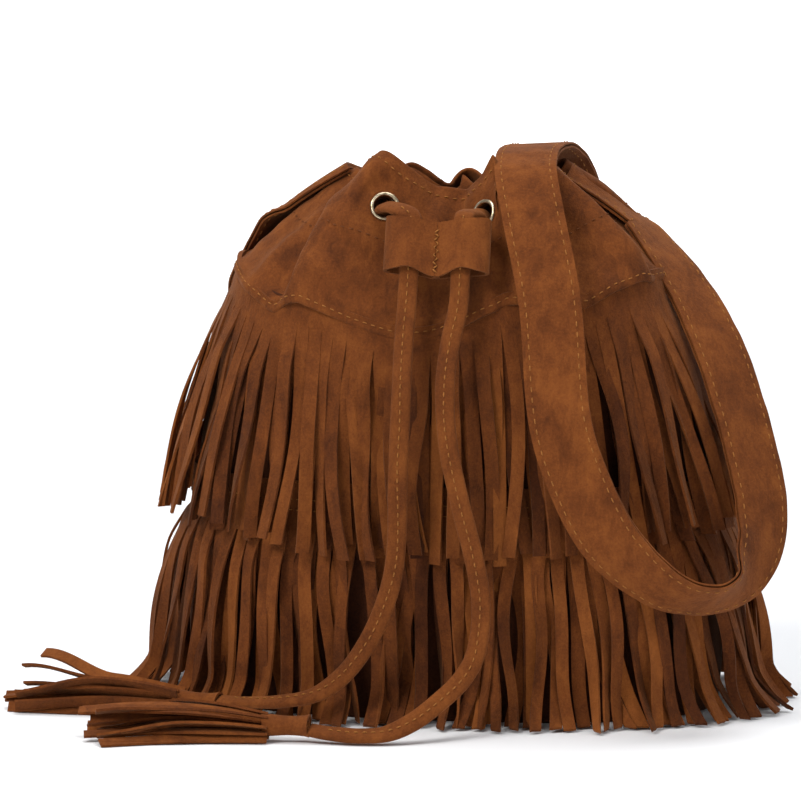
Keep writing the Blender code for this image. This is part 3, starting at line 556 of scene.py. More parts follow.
def makeSweep():
    # a pale floor that turns up into a wall by a quarter circle; it glows white by a smooth step of the distance
    near, end = studio["floor"]
    flat, columns = 34, 33
    bend = np.linspace(0.05, 0.5 * np.pi, 16)
    depth = np.concatenate([np.linspace(near, end, flat), end + studio["bend"] * np.sin(bend), [end + studio["bend"]]])
    height = np.concatenate([np.zeros(flat), studio["bend"] * (1.0 - np.cos(bend)), [studio["wallTop"]]])
    depth, x = np.meshgrid(depth, np.linspace(-studio["halfWidth"], studio["halfWidth"], columns), indexing="ij")
    points = np.stack([x, depth, np.repeat(height[:, None], columns, axis=1)], axis=-1)
    far = smoothStep((np.hypot(x, depth) - studio["glowFrom"]) / studio["glowOver"])
    made, nodes, links, shader, coords = startMaterial(
        "studioSweep", {"Roughness": 0.75, "Emission Color": studio["glowColour"]}
    )
    tint = rampNode(nodes, links, noiseNode(nodes, links, coords, 1.2, 1.0), studio["shades"])
    links.new(tint, shader.inputs["Base Color"])
    links.new(mathNode(nodes, links, "MULTIPLY", toneNode(nodes), studio["glow"]), shader.inputs["Emission Strength"])
    quads = loopGrid(len(height), columns, closeRows=False, closeColumns=False)
    putMesh("studioFloor", points, quads, made, tone=far.ravel())


def makeLights():
    # round soft lights, each turned to its aim, and an even dim sky
    for name, place, aim, size, power, colour in studio["lights"]:
        data = bpy.data.lights.new(name, "AREA")
        data.shape = "DISK"
        data.size = size
        data.energy = power
        data.color = colour
        lamp = bpy.data.objects.new(name, data)
        lamp.location = place
        lamp.rotation_euler = (Vector(aim) - Vector(place)).to_track_quat("-Z", "Y").to_euler()
        bpy.context.scene.collection.objects.link(lamp)
    world = bpy.data.worlds.new("studioWorld")
    world.use_nodes = True
    world.node_tree.nodes["Background"].inputs["Color"].default_value = studio["sky"]
    world.node_tree.nodes["Background"].inputs["Strength"].default_value = studio["skyStrength"]
    bpy.context.scene.world = world
    bpy.context.scene.view_settings.view_transform = "Standard"


makeCamera()
makeSweep()
makeLights()
print("camera and studio made")


# Body behind the fringe

bodyLook = {
    "columns": 320,
    "rows": 60,
    "top": 1.03,              # just over the seam
    "wall": 0.0012,
    "inset": 0.0022,          # below the skin, clear of the fringe tiers and the yoke
    "ripple": 0.0006,
    "rippleScale": 90.0,
    "floor": 0.0003,
}
liningLook = {
    "columns": 200,
    "rows": 60,
    "top": 1.47,
    "thickness": 0.0006,
    "inset": 0.0058,
    "pucker": 0.0014,
    "puckerScale": 55.0,
    "floor": 0.0034,
    "floorRings": (0.02, 0.3, 0.6, 0.85),    # shares of the way from the middle to the wall
}


def makeBody():
    # the plain suede wall under the fringe: body surface moved in, doubled by its wall, closed at both rims
    look = bodyLook
    u, h = np.meshgrid(np.arange(look["columns"]) / look["columns"], np.linspace(0.004, look["top"], look["rows"]))
    here, normal = frameAt(u, h, plainSkin)
    here[0, :, 2] = 0.0
    outer = here - normal * (look["inset"] - look["ripple"] * wrinkle(here, look["rippleScale"], 3))[..., None]
    inner = outer - normal * look["wall"]
    outer[0, :, 2] = inner[0, :, 2] = look["floor"]
    ring = np.concatenate([outer, inner[::-1]])
    # painted shade: the wall takes the darkened suede, which stands for the shadow seen between the strips
    made = putMesh("bodyWall", ring, loopGrid(len(ring), look["columns"]), paintedShadeSuede)
    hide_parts("body_shell")


def makeInsideLining():
    # an open cloth bag inside the wall: its two faces meet at the top edge, rings close each to the middle of the floor
    look = liningLook
    u, h = np.meshgrid(np.arange(look["columns"]) / look["columns"], np.linspace(0.02, look["top"], look["rows"]))
    here, normal = frameAt(u, h, plainSkin)
    outer = here - normal * (look["inset"] + look["pucker"] * wrinkle(here, look["puckerScale"], 8))[..., None]
    inner = outer - normal * look["thickness"]
    grid = []
    for face, level, order in ((outer, look["floor"], 1), (inner, look["floor"] + look["thickness"], -1)):
        rings = face[0] * np.array(look["floorRings"])[:, None, None]
        rings[..., 2] = face[0, :, 2] = level
        grid.append(np.concatenate([rings, face])[::order])
    grid = np.concatenate(grid)
    made = putMesh("insideLining", grid, loopGrid(len(grid), look["columns"]), liningCloth)
    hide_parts("lining")


makeBody()
makeInsideLining()
print("body wall and lining made")


# Fringe tiers

upperTier = {
    "strips": 92,
    "thickness": 0.0012,
    "cutBelowSeam": 0.0100,
    "bandRise": 0.004,        # how far the band reaches above the seam, under the yoke
    "tipHeight": 0.0790,
    "tipSpread": 0.0042,      # either way
    "flareFront": 0.0075,
    "flareSide": 0.0130,
    "flareRate": 1.05,        # below 1 the strips leave the wall early and then hang straight
    "tipFollows": 0.75,       # how far the tips rise with the seam
    "layer": 0.0016,
    "lean": 0.0040,
    "twist": 0.60,
    "floorSplay": 0.0,
    "bow": 0.0026,
    # how far the tips stand aside: share of the way round, millimetres towards +u
    "swing": (
        (0.00, 1.0), (0.05, 0.0), (0.10, 1.0), (0.15, 5.0), (0.19, 10.0), (0.25, 6.0), (0.35, -3.0), (0.50, 3.0),
        (0.60, -4.0), (0.70, -2.0), (0.80, -5.0), (0.866, -2.0), (0.893, 0.0), (0.918, 5.0), (0.939, 10.0),
        (0.971, 5.0), (1.00, 1.0),
    ),
    "seed": 11,
}
lowerTier = {
    "strips": 98,
    "thickness": 0.0012,
    "bandTop": 0.112,
    "cut": 0.0915,
    "tipHeight": 0.0016,
    "tipSpread": 0.0,
    "flareFront": 0.0085,
    "flareSide": 0.0240,
    "flareRate": 0.72,
    "tipFollows": 0.0,
    "layer": 0.0016,
    "lean": 0.0045,
    "twist": 0.60,
    "floorSplay": 0.012,
    "bow": 0.0034,
    "swing": (
        (0.00, 1.0), (0.05, 4.0), (0.10, 9.0), (0.15, 15.0), (0.20, 20.0), (0.25, 10.0), (0.35, -2.0), (0.50, 4.0),
        (0.60, -4.0), (0.70, -3.0), (0.80, -8.0), (0.87, -6.0), (0.93, 0.0), (1.00, 1.0),
    ),
    "seed": 23,
}


stripLook = {
    "rows": 30,
    "bandRows": 4,
    "columns": (-0.5, -0.17, 0.17, 0.5),    # places across a strip, in widths
    "bandFill": 0.985,
    "bandStand": 0.0002,
    "fill": 0.955,           # width of a strip, in pitches
    "narrowing": 0.10,
    "ripple": 0.0013,
    "curl": 0.0016,
    "camber": 0.00035,
    "splayFrom": 0.80,       # share of the fall where the ends spread on the floor
    "layFrom": 0.84,         # where their faces start to turn up
    "floor": 0.0004,
    "floorLayer": 0.0007,
    "toneSpread": 0.14,
    "sharp": 48.0,
    "hidden": 11,            # strips fewer in the row behind
}
# how the gathers lift or lower the seam: share of the way round, millimetres; the step is the left pleat
seamLifts = (
    (0.000, -2.8), (0.012, -0.8), (0.022, 1.4), (0.040, 6.4), (0.060, 10.6), (0.072, 10.0), (0.100, 3.6),
    (0.126, 1.2), (0.150, 4.8), (0.180, 5.4), (0.196, 2.0), (0.230, -1.0), (0.290, 3.5), (0.340, -1.5),
    (0.400, -3.0), (0.470, 4.0), (0.530, 1.0), (0.580, -3.0), (0.650, 4.0), (0.710, -1.0), (0.760, 0.5),
    (0.800, -0.5), (0.840, -4.0), (0.862, -6.6), (0.869, -6.2), (0.880, 0.6), (0.8925, 3.4), (0.918, 1.4),
    (0.939, -1.0), (0.971, -4.0), (0.988, -4.0), (1.000, -2.8),
)
# lobes of the rim: share of the way round, half width, metres up
rimLifts = (
    (0.892, 0.048, 0.0035),
    (0.066, 0.024, 0.0060),
    (0.400, 0.050, -0.0030),
    (0.520, 0.060, -0.0090),
    (0.640, 0.050, -0.0040),
)


def seamLift(u):
    # the table read off between its points, softened by a mean of five readings
    share, lift = np.array(seamLifts).T
    u = np.asarray(u, float)
    near = [np.interp((u + away) % 1.0, share, lift) for away in (-0.003, -0.0015, 0.0, 0.0015, 0.003)]
    return 0.001 * np.mean(near, axis=0)


def rimLift(u):
    # each lobe of the rim as a squared cosine
    lift = np.zeros_like(np.asarray(u, float))
    for centre, half, up in rimLifts:
        away = np.abs((u - centre + 0.5) % 1.0 - 0.5)
        lift = lift + up * np.cos(0.5 * np.pi * np.clip(away / half, 0.0, 1.0)) ** 2
    return lift


def wallFrame(u, z):
    # point on the wall, level outward normal and level direction along the wall, from a central difference
    here = bodyPoint(u, z)
    along = bodyPoint(u + 1e-3, z) - bodyPoint(u - 1e-3, z)
    along[..., 2] = 0.0
    along = unit(along)
    return here, np.stack([along[..., 1], -along[..., 0], 0.0 * along[..., 0]], axis=-1), along


def sideShare(u):
    # 0 in front and behind, 1 at the left side, less at the right: the cube of the cosine
    across = np.cos(directionAt(u))
    return np.abs(across) ** 3 * np.where(across > 0.0, 0.70, 1.0)


def makeTier(name, tier, top, cut, tip, inset=0.0):
    # one cut sheet: a band right round, whose strips hang in layers; each strip leans, twists and bows by its own
    # smooth noise, and its section is four points across on both faces
    look = stripLook
    count, bandRows = tier["strips"], look["bandRows"]
    rng = np.random.default_rng(tier["seed"])
    strip = np.arange(count)
    middle = (strip + 0.5) / count
    columns = np.array(look["columns"])
    drop = np.linspace(0.0, 1.0, look["rows"])[1:]
    grid = np.zeros((bandRows + len(drop), count, len(columns), 2, 3))
    edge = middle[:, None] + columns * look["bandFill"] / count
    for r, share in enumerate(np.linspace(0.0, 1.0, bandRows)):
        here, out, _ = wallFrame(edge, top(edge) + (cut(edge) - top(edge)) * share)
        grid[r, :, :, 0] = here + out * (look["bandStand"] - inset)
        grid[r, :, :, 1] = here - out * (tier["thickness"] - look["bandStand"] + inset)
    flare = tier["flareFront"] + (tier["flareSide"] - tier["flareFront"]) * sideShare(middle)
    stack = np.choose(strip % 4, [0.0, 1.0, 0.25, 1.35]) + rng.uniform(-0.2, 0.45, count)
    lean = tier["lean"] * (0.8 * wave(middle * 60.0, tier["seed"] + 1) + 0.7 * rng.normal(0.0, 1.0, count))
    lean = np.clip(lean, -2.0 * tier["lean"], 2.0 * tier["lean"])
    swingShare, swing = np.array(tier["swing"]).T
    lean = lean + 0.001 * np.interp(middle, swingShare, swing)
    twist = tier["twist"] * rng.normal(0.0, 1.0, count)
    bow = tier["bow"] * (0.7 * rng.normal(0.0, 1.0, count) + 0.8 * wave(middle * 45.0, tier["seed"] + 2))
    curl = rng.normal(0.0, 0.5, count)
    width = girth / count * (look["fill"] + rng.uniform(-0.05, 0.02, count))
    splay = tier["floorSplay"] * rng.uniform(0.35, 1.35, count)
    tipLevel = tip(middle) + tier["tipSpread"] * rng.uniform(-1.0, 1.0, count)
    start = cut(middle)
    for r, fall in enumerate(drop, bandRows):
        settle = smoothStep(4.0 * fall)
        here, out, along = wallFrame(middle, start + (tipLevel - start) * fall)
        stand = flare * fall ** tier["flareRate"] + tier["layer"] * stack * settle - inset
        stand = stand + look["ripple"] * np.sin(6.5 * fall + 2.1 * strip) * settle
        stand = stand + splay * np.clip((fall - look["splayFrom"]) / (1.0 - look["splayFrom"]), 0.0, 1.0) ** 1.6
        aside = lean * fall**1.5 + bow * np.sin(np.pi * fall)
        aside = aside + look["curl"] * curl * np.sin(7.0 * fall + strip) * settle
        centre = here + out * stand[:, None] + along * aside[:, None]
        angle = twist * smoothStep((fall - 0.12) / 0.88) + 0.25 * curl * np.sin(5.0 * fall + 1.7 * strip) * settle
        across = along * np.cos(angle)[:, None] + out * np.sin(angle)[:, None]
        normal = np.cross(across, np.array([0.0, 0.0, -1.0]))
        normal = unit(normal) * np.sign((normal * out).sum(axis=1))[:, None]
        if tier["floorSplay"] > 0.0:
            share = np.clip((fall - look["layFrom"]) / (1.0 - look["layFrom"]), 0.0, 1.0)
            normal = unit(normal * (1.0 - 0.55 * share) + np.array([0.0, 0.0, 1.0]) * (0.75 * share))
            across = unit(np.cross(np.cross(normal, across), normal))
        half = 0.5 * width * (1.0 - look["narrowing"] * settle)
        camber = look["camber"] * curl * settle
        for c, place in enumerate(columns):
            flat = centre + across * (2.0 * place * half)[:, None]
            flat = flat + normal * (camber * (1.0 - 4.0 * place**2))[:, None]
            grid[r, :, c, 0] = flat + normal * 0.5 * tier["thickness"]
            grid[r, :, c, 1] = flat - normal * 0.5 * tier["thickness"]
    level = (look["floor"] + look["floorLayer"] * stack)[None, :, None]
    grid[..., 0, 2] = np.maximum(grid[..., 0, 2], level + tier["thickness"])
    grid[..., 1, 2] = np.maximum(grid[..., 1, 2], level)
    quads = []

    def quad(*corners):
        # each corner is row, strip, column and face
        quads.append(np.stack([((r * count + k % count) * 4 + c) * 2 + f for r, k, c, f in corners], axis=-1))

    k, after = strip, strip + 1
    cutRow, end = bandRows - 1, len(grid) - 1
    for r in range(end):
        low = r + 1
        for c in range(3):
            quad((r, k, c, 0), (low, k, c, 0), (low, k, c + 1, 0), (r, k, c + 1, 0))
            quad((r, k, c + 1, 1), (low, k, c + 1, 1), (low, k, c, 1), (r, k, c, 1))
        if r < cutRow:
            quad((r, k, 3, 0), (low, k, 3, 0), (low, after, 0, 0), (r, after, 0, 0))
            quad((r, after, 0, 1), (low, after, 0, 1), (low, k, 3, 1), (r, k, 3, 1))
        else:
            quad((r, k, 0, 1), (low, k, 0, 1), (low, k, 0, 0), (r, k, 0, 0))
            quad((r, k, 3, 0), (low, k, 3, 0), (low, k, 3, 1), (r, k, 3, 1))
    for c in range(3):
        quad((0, k, c, 0), (0, k, c + 1, 0), (0, k, c + 1, 1), (0, k, c, 1))
        quad((end, k, c, 0), (end, k, c, 1), (end, k, c + 1, 1), (end, k, c + 1, 0))
    quad((0, k, 3, 0), (0, after, 0, 0), (0, after, 0, 1), (0, k, 3, 1))
    quad((cutRow, k, 3, 0), (cutRow, k, 3, 1), (cutRow, after, 0, 1), (cutRow, after, 0, 0))
    tone = np.clip(0.5 + look["toneSpread"] * rng.normal(0.0, 1.0, count), 0.0, 1.0)
    fade = np.concatenate([np.zeros(bandRows), np.clip(drop * 3.0, 0.0, 1.0)])
    tones = 0.5 + (tone[None, :] - 0.5) * fade[:, None]
    tones = np.broadcast_to(tones[:, :, None, None], grid.shape[:4])
    made = putMesh(name, grid, np.concatenate(quads), fringeSuede, tone=tones.ravel(), sharp=look["sharp"])
    bandArea = girth * float(np.mean(top(middle) - cut(middle)))
    length = float(np.mean(top(middle) - tipLevel)) + 0.01
    return made


def shownSeam(u):
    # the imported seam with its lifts
    return seamLevel(u) + seamLift(u)


def makeTiers(part, tier, top, cut):
    # the sheet in front, and a second row for the strips that the gathers lay behind: thinner, inset and flared less
    def tip(u):
        return tier["tipHeight"] + tier["tipFollows"] * (seamLevel(u) - bagForm["seamHeight"])

    front = makeTier(part + "Fringe", tier, top, cut, tip)
    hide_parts("fringe_" + part)
    behind = dict(tier, strips=tier["strips"] - stripLook["hidden"], seed=tier["seed"] + 5)
    behind.update(thickness=0.0010, layer=0.0008, lean=1.5 * tier["lean"])
    behind.update(flareFront=0.62 * tier["flareFront"], flareSide=0.70 * tier["flareSide"])
    makeTier(part + "FringeBehind", behind, top, cut, tip, inset=0.00115)


makeTiers(
    "upper",
    upperTier,
    lambda u: shownSeam(u) + upperTier["bandRise"],
    lambda u: shownSeam(u) - upperTier["cutBelowSeam"],
)
makeTiers("lower", lowerTier, lambda u: lowerTier["bandTop"] + 0.0 * u, lambda u: lowerTier["cut"] + 0.0 * u)


def bandStitches(name, z):
    # a level row right round the lower band
    u = np.arange(401) / 400.0
    here, out, _ = wallFrame(u, z + 0.0 * u)
    stitchRow(name, here + out * 0.0003, out, seamThread, "fringe_suede", **fineStitch)


bandStitches("bandStitchesUpper", 0.1035)
bandStitches("bandStitchesLower", 0.0985)
print("fringe tiers made")


# Yoke, hem facing and their stitching

yokeLook = {
    "columns": 760,
    "rows": 84,
    "rowPower": 0.92,        # below 1 the rows stand closer towards the rim
    "wall": 0.0016,
    "lap": 0.0016,           # how far the lower edge stands over the fringe band
    "lapFade": 0.16,
    "edgeDrop": 0.0022,      # how far the lower edge reaches below the seam line
    "crown": 0.0006,
    "seamFade": 0.55,        # share of the way up where the seam's lift ends
    "rimFrom": 0.45,         # and where the rim's lift starts
    "narrowing": 0.62,       # what the girth loses up to the rim
    "ridgeBefore": 0.12,
    "ridgeFade": 0.25,
    "eyeletFlat": 0.010,
    "eyeletFade": 0.012,
    # height, scale, seed, share lost up to the rim
    "wrinkles": ((0.0007, 150.0, 5, 0.0), (0.0010, 62.0, 9, 0.4)),
    # ridges of the gathers: from (u, share) to (u, share), height, soft side, steep side, both in metres
    "ridges": (
        ((0.8785, 0.07), (0.866, 1.00), 0.0064, 0.024, 0.0020),
        ((0.860, 0.12), (0.845, 1.00), -0.0030, 0.006, 0.0120),
        ((0.056, 0.00), (0.068, 1.00), -0.0042, 0.006, 0.0060),
        ((0.080, 0.25), (0.086, 1.00), 0.0030, 0.004, 0.0060),
        ((0.968, 0.15), (0.985, 1.00), 0.0022, 0.009, 0.0060),
        ((0.012, 0.10), (0.018, 1.00), -0.0022, 0.006, 0.0060),
        ((0.115, 0.05), (0.105, 1.00), 0.0022, 0.010, 0.0050),
        ((0.190, 0.06), (0.176, 1.00), 0.0056, 0.0022, 0.0220),
        ((0.206, 0.00), (0.196, 1.00), -0.0030, 0.010, 0.0050),
        ((0.830, 0.05), (0.815, 1.00), 0.0026, 0.012, 0.0060),
        ((0.300, 0.00), (0.290, 1.00), 0.0040, 0.014, 0.0040),
        ((0.390, 0.05), (0.400, 1.00), -0.0036, 0.008, 0.0080),
        ((0.480, 0.00), (0.470, 1.00), 0.0042, 0.014, 0.0040),
        ((0.580, 0.05), (0.575, 1.00), -0.0036, 0.008, 0.0080),
        ((0.660, 0.00), (0.670, 1.00), 0.0042, 0.014, 0.0040),
        ((0.760, 0.05), (0.745, 1.00), -0.0030, 0.008, 0.0080),
    ),
}


def rimShare(v):
    # how much of the rim's lift a height on the yoke takes: a smooth step
    return smoothStep((v - yokeLook["rimFrom"]) / (1.0 - yokeLook["rimFrom"]))


def shownSkin(u, h, foldShare=1.0):
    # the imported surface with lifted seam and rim; a ridge is a Gaussian of the way from its line, one width each side
    look = yokeLook
    u, h = np.broadcast_arrays(np.asarray(u, float), np.asarray(h, float))
    v = np.clip(h - 1.0, 0.0, 1.0)
    here, normal = frameAt(u, h, skin, foldShare)
    here = here.copy()
    here[..., 2] += seamLift(u) * (1.0 - smoothStep(v / look["seamFade"])) + rimLift(u) * rimShare(v)
    height = np.zeros_like(v)
    for (u0, v0), (u1, v1), size, soft, steep in look["ridges"]:
        line = u0 + (u1 - u0) * (v - v0) / (v1 - v0)
        away = ((u - line + 0.5) % 1.0 - 0.5) * girth * (1.0 - look["narrowing"] * v)
        profile = np.exp(-((away / np.where(away > 0.0, soft, steep)) ** 2))
        rise = smoothStep((v - v0 + look["ridgeBefore"]) / look["ridgeFade"])
        height = height + size * profile * rise * (1.0 - 0.45 * smoothStep((v - 0.7) / 0.3))
    keep = np.ones_like(v)
    for centre, _ in eyelets:
        away = np.linalg.norm(here - centre, axis=-1)
        keep = keep * smoothStep((away - look["eyeletFlat"]) / look["eyeletFade"])
    for size, scale, seed, loss in look["wrinkles"]:
        height = height + size * wrinkle(here, scale, seed) * (1.0 - loss * v)
    return here + normal * (height * keep)[..., None]


def makeYoke():
    # outer face from the lower edge to the rim, a rounded rim, and the inner face back down: one closed loop of rows
    look = yokeLook
    columns = look["columns"]
    v = np.linspace(0.0, 1.0, look["rows"]) ** look["rowPower"]
    u, h = np.meshgrid(np.arange(columns) / columns, 1.0 + v)
    outer = shownSkin(u, h)
    normal = unit(np.cross(np.roll(outer, -1, axis=1) - np.roll(outer, 1, axis=1), np.gradient(outer, axis=0)))
    lap = look["lap"] * (1.0 - smoothStep(v / look["lapFade"]))
    outer = outer + normal * lap[:, None, None]
    edge = outer[:1].copy()
    edge[..., 2] -= look["edgeDrop"]
    outer = np.concatenate([edge, 0.5 * (outer[:1] + edge), outer])
    normal = np.concatenate([normal[:1], normal[:1], normal])
    inner = outer - normal * look["wall"]
    crown = 0.5 * (outer[-1:] + inner[-1:])
    crown[..., 2] += look["crown"]
    ring = np.concatenate([outer, crown, inner[::-1]])
    made = putMesh("yokeWall", ring, loopGrid(len(ring), columns), yokeSuede)
    cutHoles(made)
    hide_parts("yoke")
    return outer, normal


def turnedRing(name, profile, count, centre, normal, finish, sharp=None):
    # a closed (radius, height) profile turned round the eyelet's axis
    across = unit(np.cross([0.0, 0.0, 1.0], normal))
    upward = np.cross(normal, across)
    turn = np.arange(count)[:, None] * 2.0 * np.pi / count
    profile = np.asarray(profile, float)
    spoke = np.cos(turn) * across + np.sin(turn) * upward
    points = centre + spoke * profile[:, :1, None] + normal * profile[:, 1:, None]
    return putMesh(name, points, loopGrid(len(profile), count), finish, sharp=sharp)


eyeletLook = {
    "bore": 0.0050,
    "barrel": 0.0056,
    "flange": 0.0071,
    "height": 0.0014,
    "foot": -0.0022,         # how deep the barrel reaches
    "stand": 0.0003,
    "domeSteps": 12,
    "domePower": 0.8,
    "steps": 64,
    "sharp": 50.0,
    "holeEase": 0.0002,
    # radius and height of the washer's section
    "washer": ((0.0060, -0.0026), (0.0075, -0.0026), (0.0076, -0.0022), (0.0075, -0.0019), (0.0060, -0.0019)),
}


def cutHoles(made):
    # each eyelet's barrel passes through a round hole in the suede: a cylinder taken away
    for k, (centre, normal) in enumerate(eyelets):
        barrel, axis, deep = eyeletLook["barrel"] + eyeletLook["holeEase"], 1e-5, 0.02
        section = ((axis, -deep), (barrel, -deep), (barrel, deep), (axis, deep))
        tool = turnedRing("holeTool" + str(k), section, 40, centre, normal, yokeSuede)
        cut = made.modifiers.new("hole" + str(k), "BOOLEAN")
        cut.object = tool
        cut.operation = "DIFFERENCE"
        cut.solver = "EXACT"
        graph = bpy.context.evaluated_depsgraph_get()
        done = bpy.data.meshes.new_from_object(made.evaluated_get(graph))
        made.modifiers.clear()
        old = made.data
        made.data = done
        bpy.data.meshes.remove(old)
        bpy.data.objects.remove(tool, do_unlink=True)


def makeEyelets():
    # a rolled flange, half a superellipse, on a barrel through the suede, and a flat washer behind
    look = eyeletLook
    half = 0.5 * (look["flange"] - look["bore"])
    mid = 0.5 * (look["flange"] + look["bore"])
    turn = np.linspace(0.0, np.pi, look["domeSteps"])
    profile = [(mid + half * np.cos(t), look["stand"] + look["height"] * np.sin(t) ** look["domePower"]) for t in turn]
    profile += [(look["bore"], look["foot"]), (look["barrel"], look["foot"]), (look["barrel"], look["holeEase"])]
    for side, (centre, normal) in zip(("left", "right"), eyelets):
        for part, section, node in (("_ring", profile, "eyelet_"), ("_disc", look["washer"], "eyelet_washer_")):
            name = "eyelet_" + side + part
            made = turnedRing(name, section, look["steps"], centre, normal, oldBrass, look["sharp"])
            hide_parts(node + side)


facingLook = {
    "columns": 400,
    "rows": 26,
    "top": 0.985,            # shares of the way from the seam to the rim
    "bottom": 0.52,
    "tunnel": (0.64, 0.90),
    "ease": 0.0011,
    "depth": 0.0105,
    "foldShare": 0.4,        # of the rim's folds, along the tunnel
    "stand": 0.0019,
    "thickness": 0.0012,
    "pucker": 0.0007,
}


def makeFacing():
    # the strip sewn inside the rim: its depth below the skin swells between the two seams to make the cord's tunnel
    look = facingLook
    shares = np.linspace(look["top"], look["bottom"], look["rows"])
    knots = (look["bottom"], *look["tunnel"], look["top"])
    depths = np.interp(shares, knots, (look["ease"], look["depth"], look["depth"], look["ease"]))
    depths = np.convolve(np.pad(depths, 2, mode="edge"), np.ones(5) / 5.0, mode="valid")
    foldShares = np.interp(shares, knots, (1.0, look["foldShare"], look["foldShare"], 1.0))
    u = np.arange(look["columns"]) / look["columns"]
    outer = []
    for share, depth, foldShare in zip(shares, depths, foldShares):
        here, normal = frameAt(u, 1.0 + share + 0.0 * u, plainSkin, foldShare)
        here[:, 2] += rimLift(u) * rimShare(share)
        between = np.sin(np.pi * (share - look["bottom"]) / (look["top"] - look["bottom"]))
        pucker = look["pucker"] * wave(u * 150.0, 31) * between
        outer.append(here - normal * (look["stand"] + depth + pucker)[:, None])
    outer = np.array(outer)
    normal = unit(np.cross(np.roll(outer, -1, axis=1) - np.roll(outer, 1, axis=1), -np.gradient(outer, axis=0)))
    ring = np.concatenate([outer, (outer - normal * look["thickness"])[::-1]])
    made = putMesh("hemFacing", ring, loopGrid(len(ring), look["columns"]), yokeSuede)
    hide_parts("hem_facing")


yokeOuter, yokeNormal = makeYoke()
makeEyelets()
makeFacing()
closed = np.arange(yokeLook["columns"] + 1) % yokeLook["columns"]


def yokeStitches(name, share, finish):
    # a row of stitches at a share of the rows from the yoke's lower edge to the rim
    row = share * (len(yokeOuter) - 1)
    low = int(row)
    mix = row - low
    at = yokeOuter[low] * (1.0 - mix) + yokeOuter[min(low + 1, len(yokeOuter) - 1)] * mix
    stitchRow(name, at[closed], yokeNormal[low][closed], finish, "suede", **fineStitch)


yokeStitches("seamStitches", 0.034, seamThread)
yokeStitches("hemStitches", 0.925, seamThread)
yokeStitches("tunnelStitches", 0.500, hemThread)
print("yoke, facing and eyelets made")


# Strap

strapLook = {
    "width": 0.029,
    "ply": 0.0014,
    "gap": 0.0003,
    "ends": (177.0, 11.0),   # directions of the sewn ends
    "endStand": 0.00185,
    # the route over the yoke at each end: share of the way to the rim, stand beyond endStand
    "sewnRows": ((0.95, 0.0), (0.75, 0.0002), (0.48, 0.0022)),
    "sewnLength": 0.024,
    "sewnFade": 0.022,
    "sewnEase": 0.0012,
    "sewnSpread": (-0.02, -0.007, 0.007, 0.02),    # shares of the girth that the seat is a mean over
    "yokeSlant": 0.057,      # from the seam to the rim, along the yoke
    "samples": 460,
    "ripple": 0.0005,
    "edge": (14, 0.45),      # points across, and rounding of the edges
    "sharp": 50.0,
    "stitchInset": 0.0031,
    "stitch": {"spacing": 0.0050, "share": 0.60, "radius": 0.00031, "stand": 0.0},
}
# a point of the middle line, and the way the face looks there
strapRoute = (
    ((-0.0985, 0.018, 0.2130), (-0.74, 0.26, 0.62)),
    ((-0.1085, 0.038, 0.1930), (-0.78, 0.48, 0.38)),
    ((-0.1045, 0.068, 0.1640), (-0.62, 0.78, 0.05)),
    ((-0.084, 0.091, 0.1420), (-0.38, 0.90, -0.18)),
    ((-0.054, 0.102, 0.1220), (-0.10, 0.86, -0.50)),
    ((-0.022, 0.104, 0.1150), (0.00, 0.72, -0.70)),
    ((0.018, 0.103, 0.1260), (0.00, 0.90, -0.45)),
    ((0.038, 0.098, 0.1600), (0.05, 1.00, 0.00)),
    ((0.044, 0.084, 0.2000), (0.05, 0.95, 0.30)),
    ((0.042, 0.058, 0.2380), (0.00, 0.80, 0.60)),
    ((0.037, 0.030, 0.2575), (-0.06, 0.40, 0.90)),
    ((0.034, -0.004, 0.2625), (-0.04, -0.15, 0.98)),
    ((0.036, -0.036, 0.2580), (0.05, -0.70, 0.70)),
    ((0.043, -0.056, 0.2380), (0.12, -0.88, 0.46)),
    ((0.054, -0.075, 0.2000), (0.12, -0.92, 0.30)),
    ((0.061, -0.091, 0.1500), (0.10, -0.99, 0.10)),
    ((0.071, -0.096, 0.1200), (0.10, -0.99, 0.00)),
    ((0.086, -0.098, 0.0930), (0.05, -0.93, -0.30)),
    ((0.107, -0.094, 0.0730), (0.00, -0.75, -0.62)),
    ((0.127, -0.084, 0.0640), (0.10, -0.60, -0.80)),
    ((0.143, -0.069, 0.0680), (0.35, -0.66, -0.66)),
    ((0.150, -0.054, 0.0860), (0.66, -0.72, -0.22)),
    ((0.149, -0.045, 0.1050), (0.70, -0.71, 0.00)),
    ((0.143, -0.038, 0.1280), (0.70, -0.70, 0.12)),
    ((0.135, -0.030, 0.1520), (0.68, -0.68, 0.26)),
    ((0.123, -0.019, 0.1770), (0.66, -0.62, 0.42)),
    ((0.106, -0.004, 0.2020), (0.66, -0.42, 0.62)),
)


def strapFrame():
    # sewn ends lie on the yoke, the rest follows the route; the face direction turns with it
    rows = []
    for degrees, order in zip(strapLook["ends"], (1, -1)):
        end = []
        for v, extra in strapLook["sewnRows"]:
            here, normal = frameAt(shareOf(degrees), 1.0 + v, skin)
            end.append((*(here + normal * (strapLook["endStand"] + extra)), *normal))
        rows.append(end[::order])
    control = np.array(rows[0] + [place + way for place, way in strapRoute] + rows[1])
    control[:, 3:] = unit(control[:, 3:])
    dense, _ = through(control, np.linspace(0.0, 1.0, strapLook["samples"]))
    place, face = dense[:, :3], dense[:, 3:]
    along = unit(np.gradient(place, axis=0))
    wide = unit(np.cross(face, along))
    return place, wide, np.cross(along, wide)


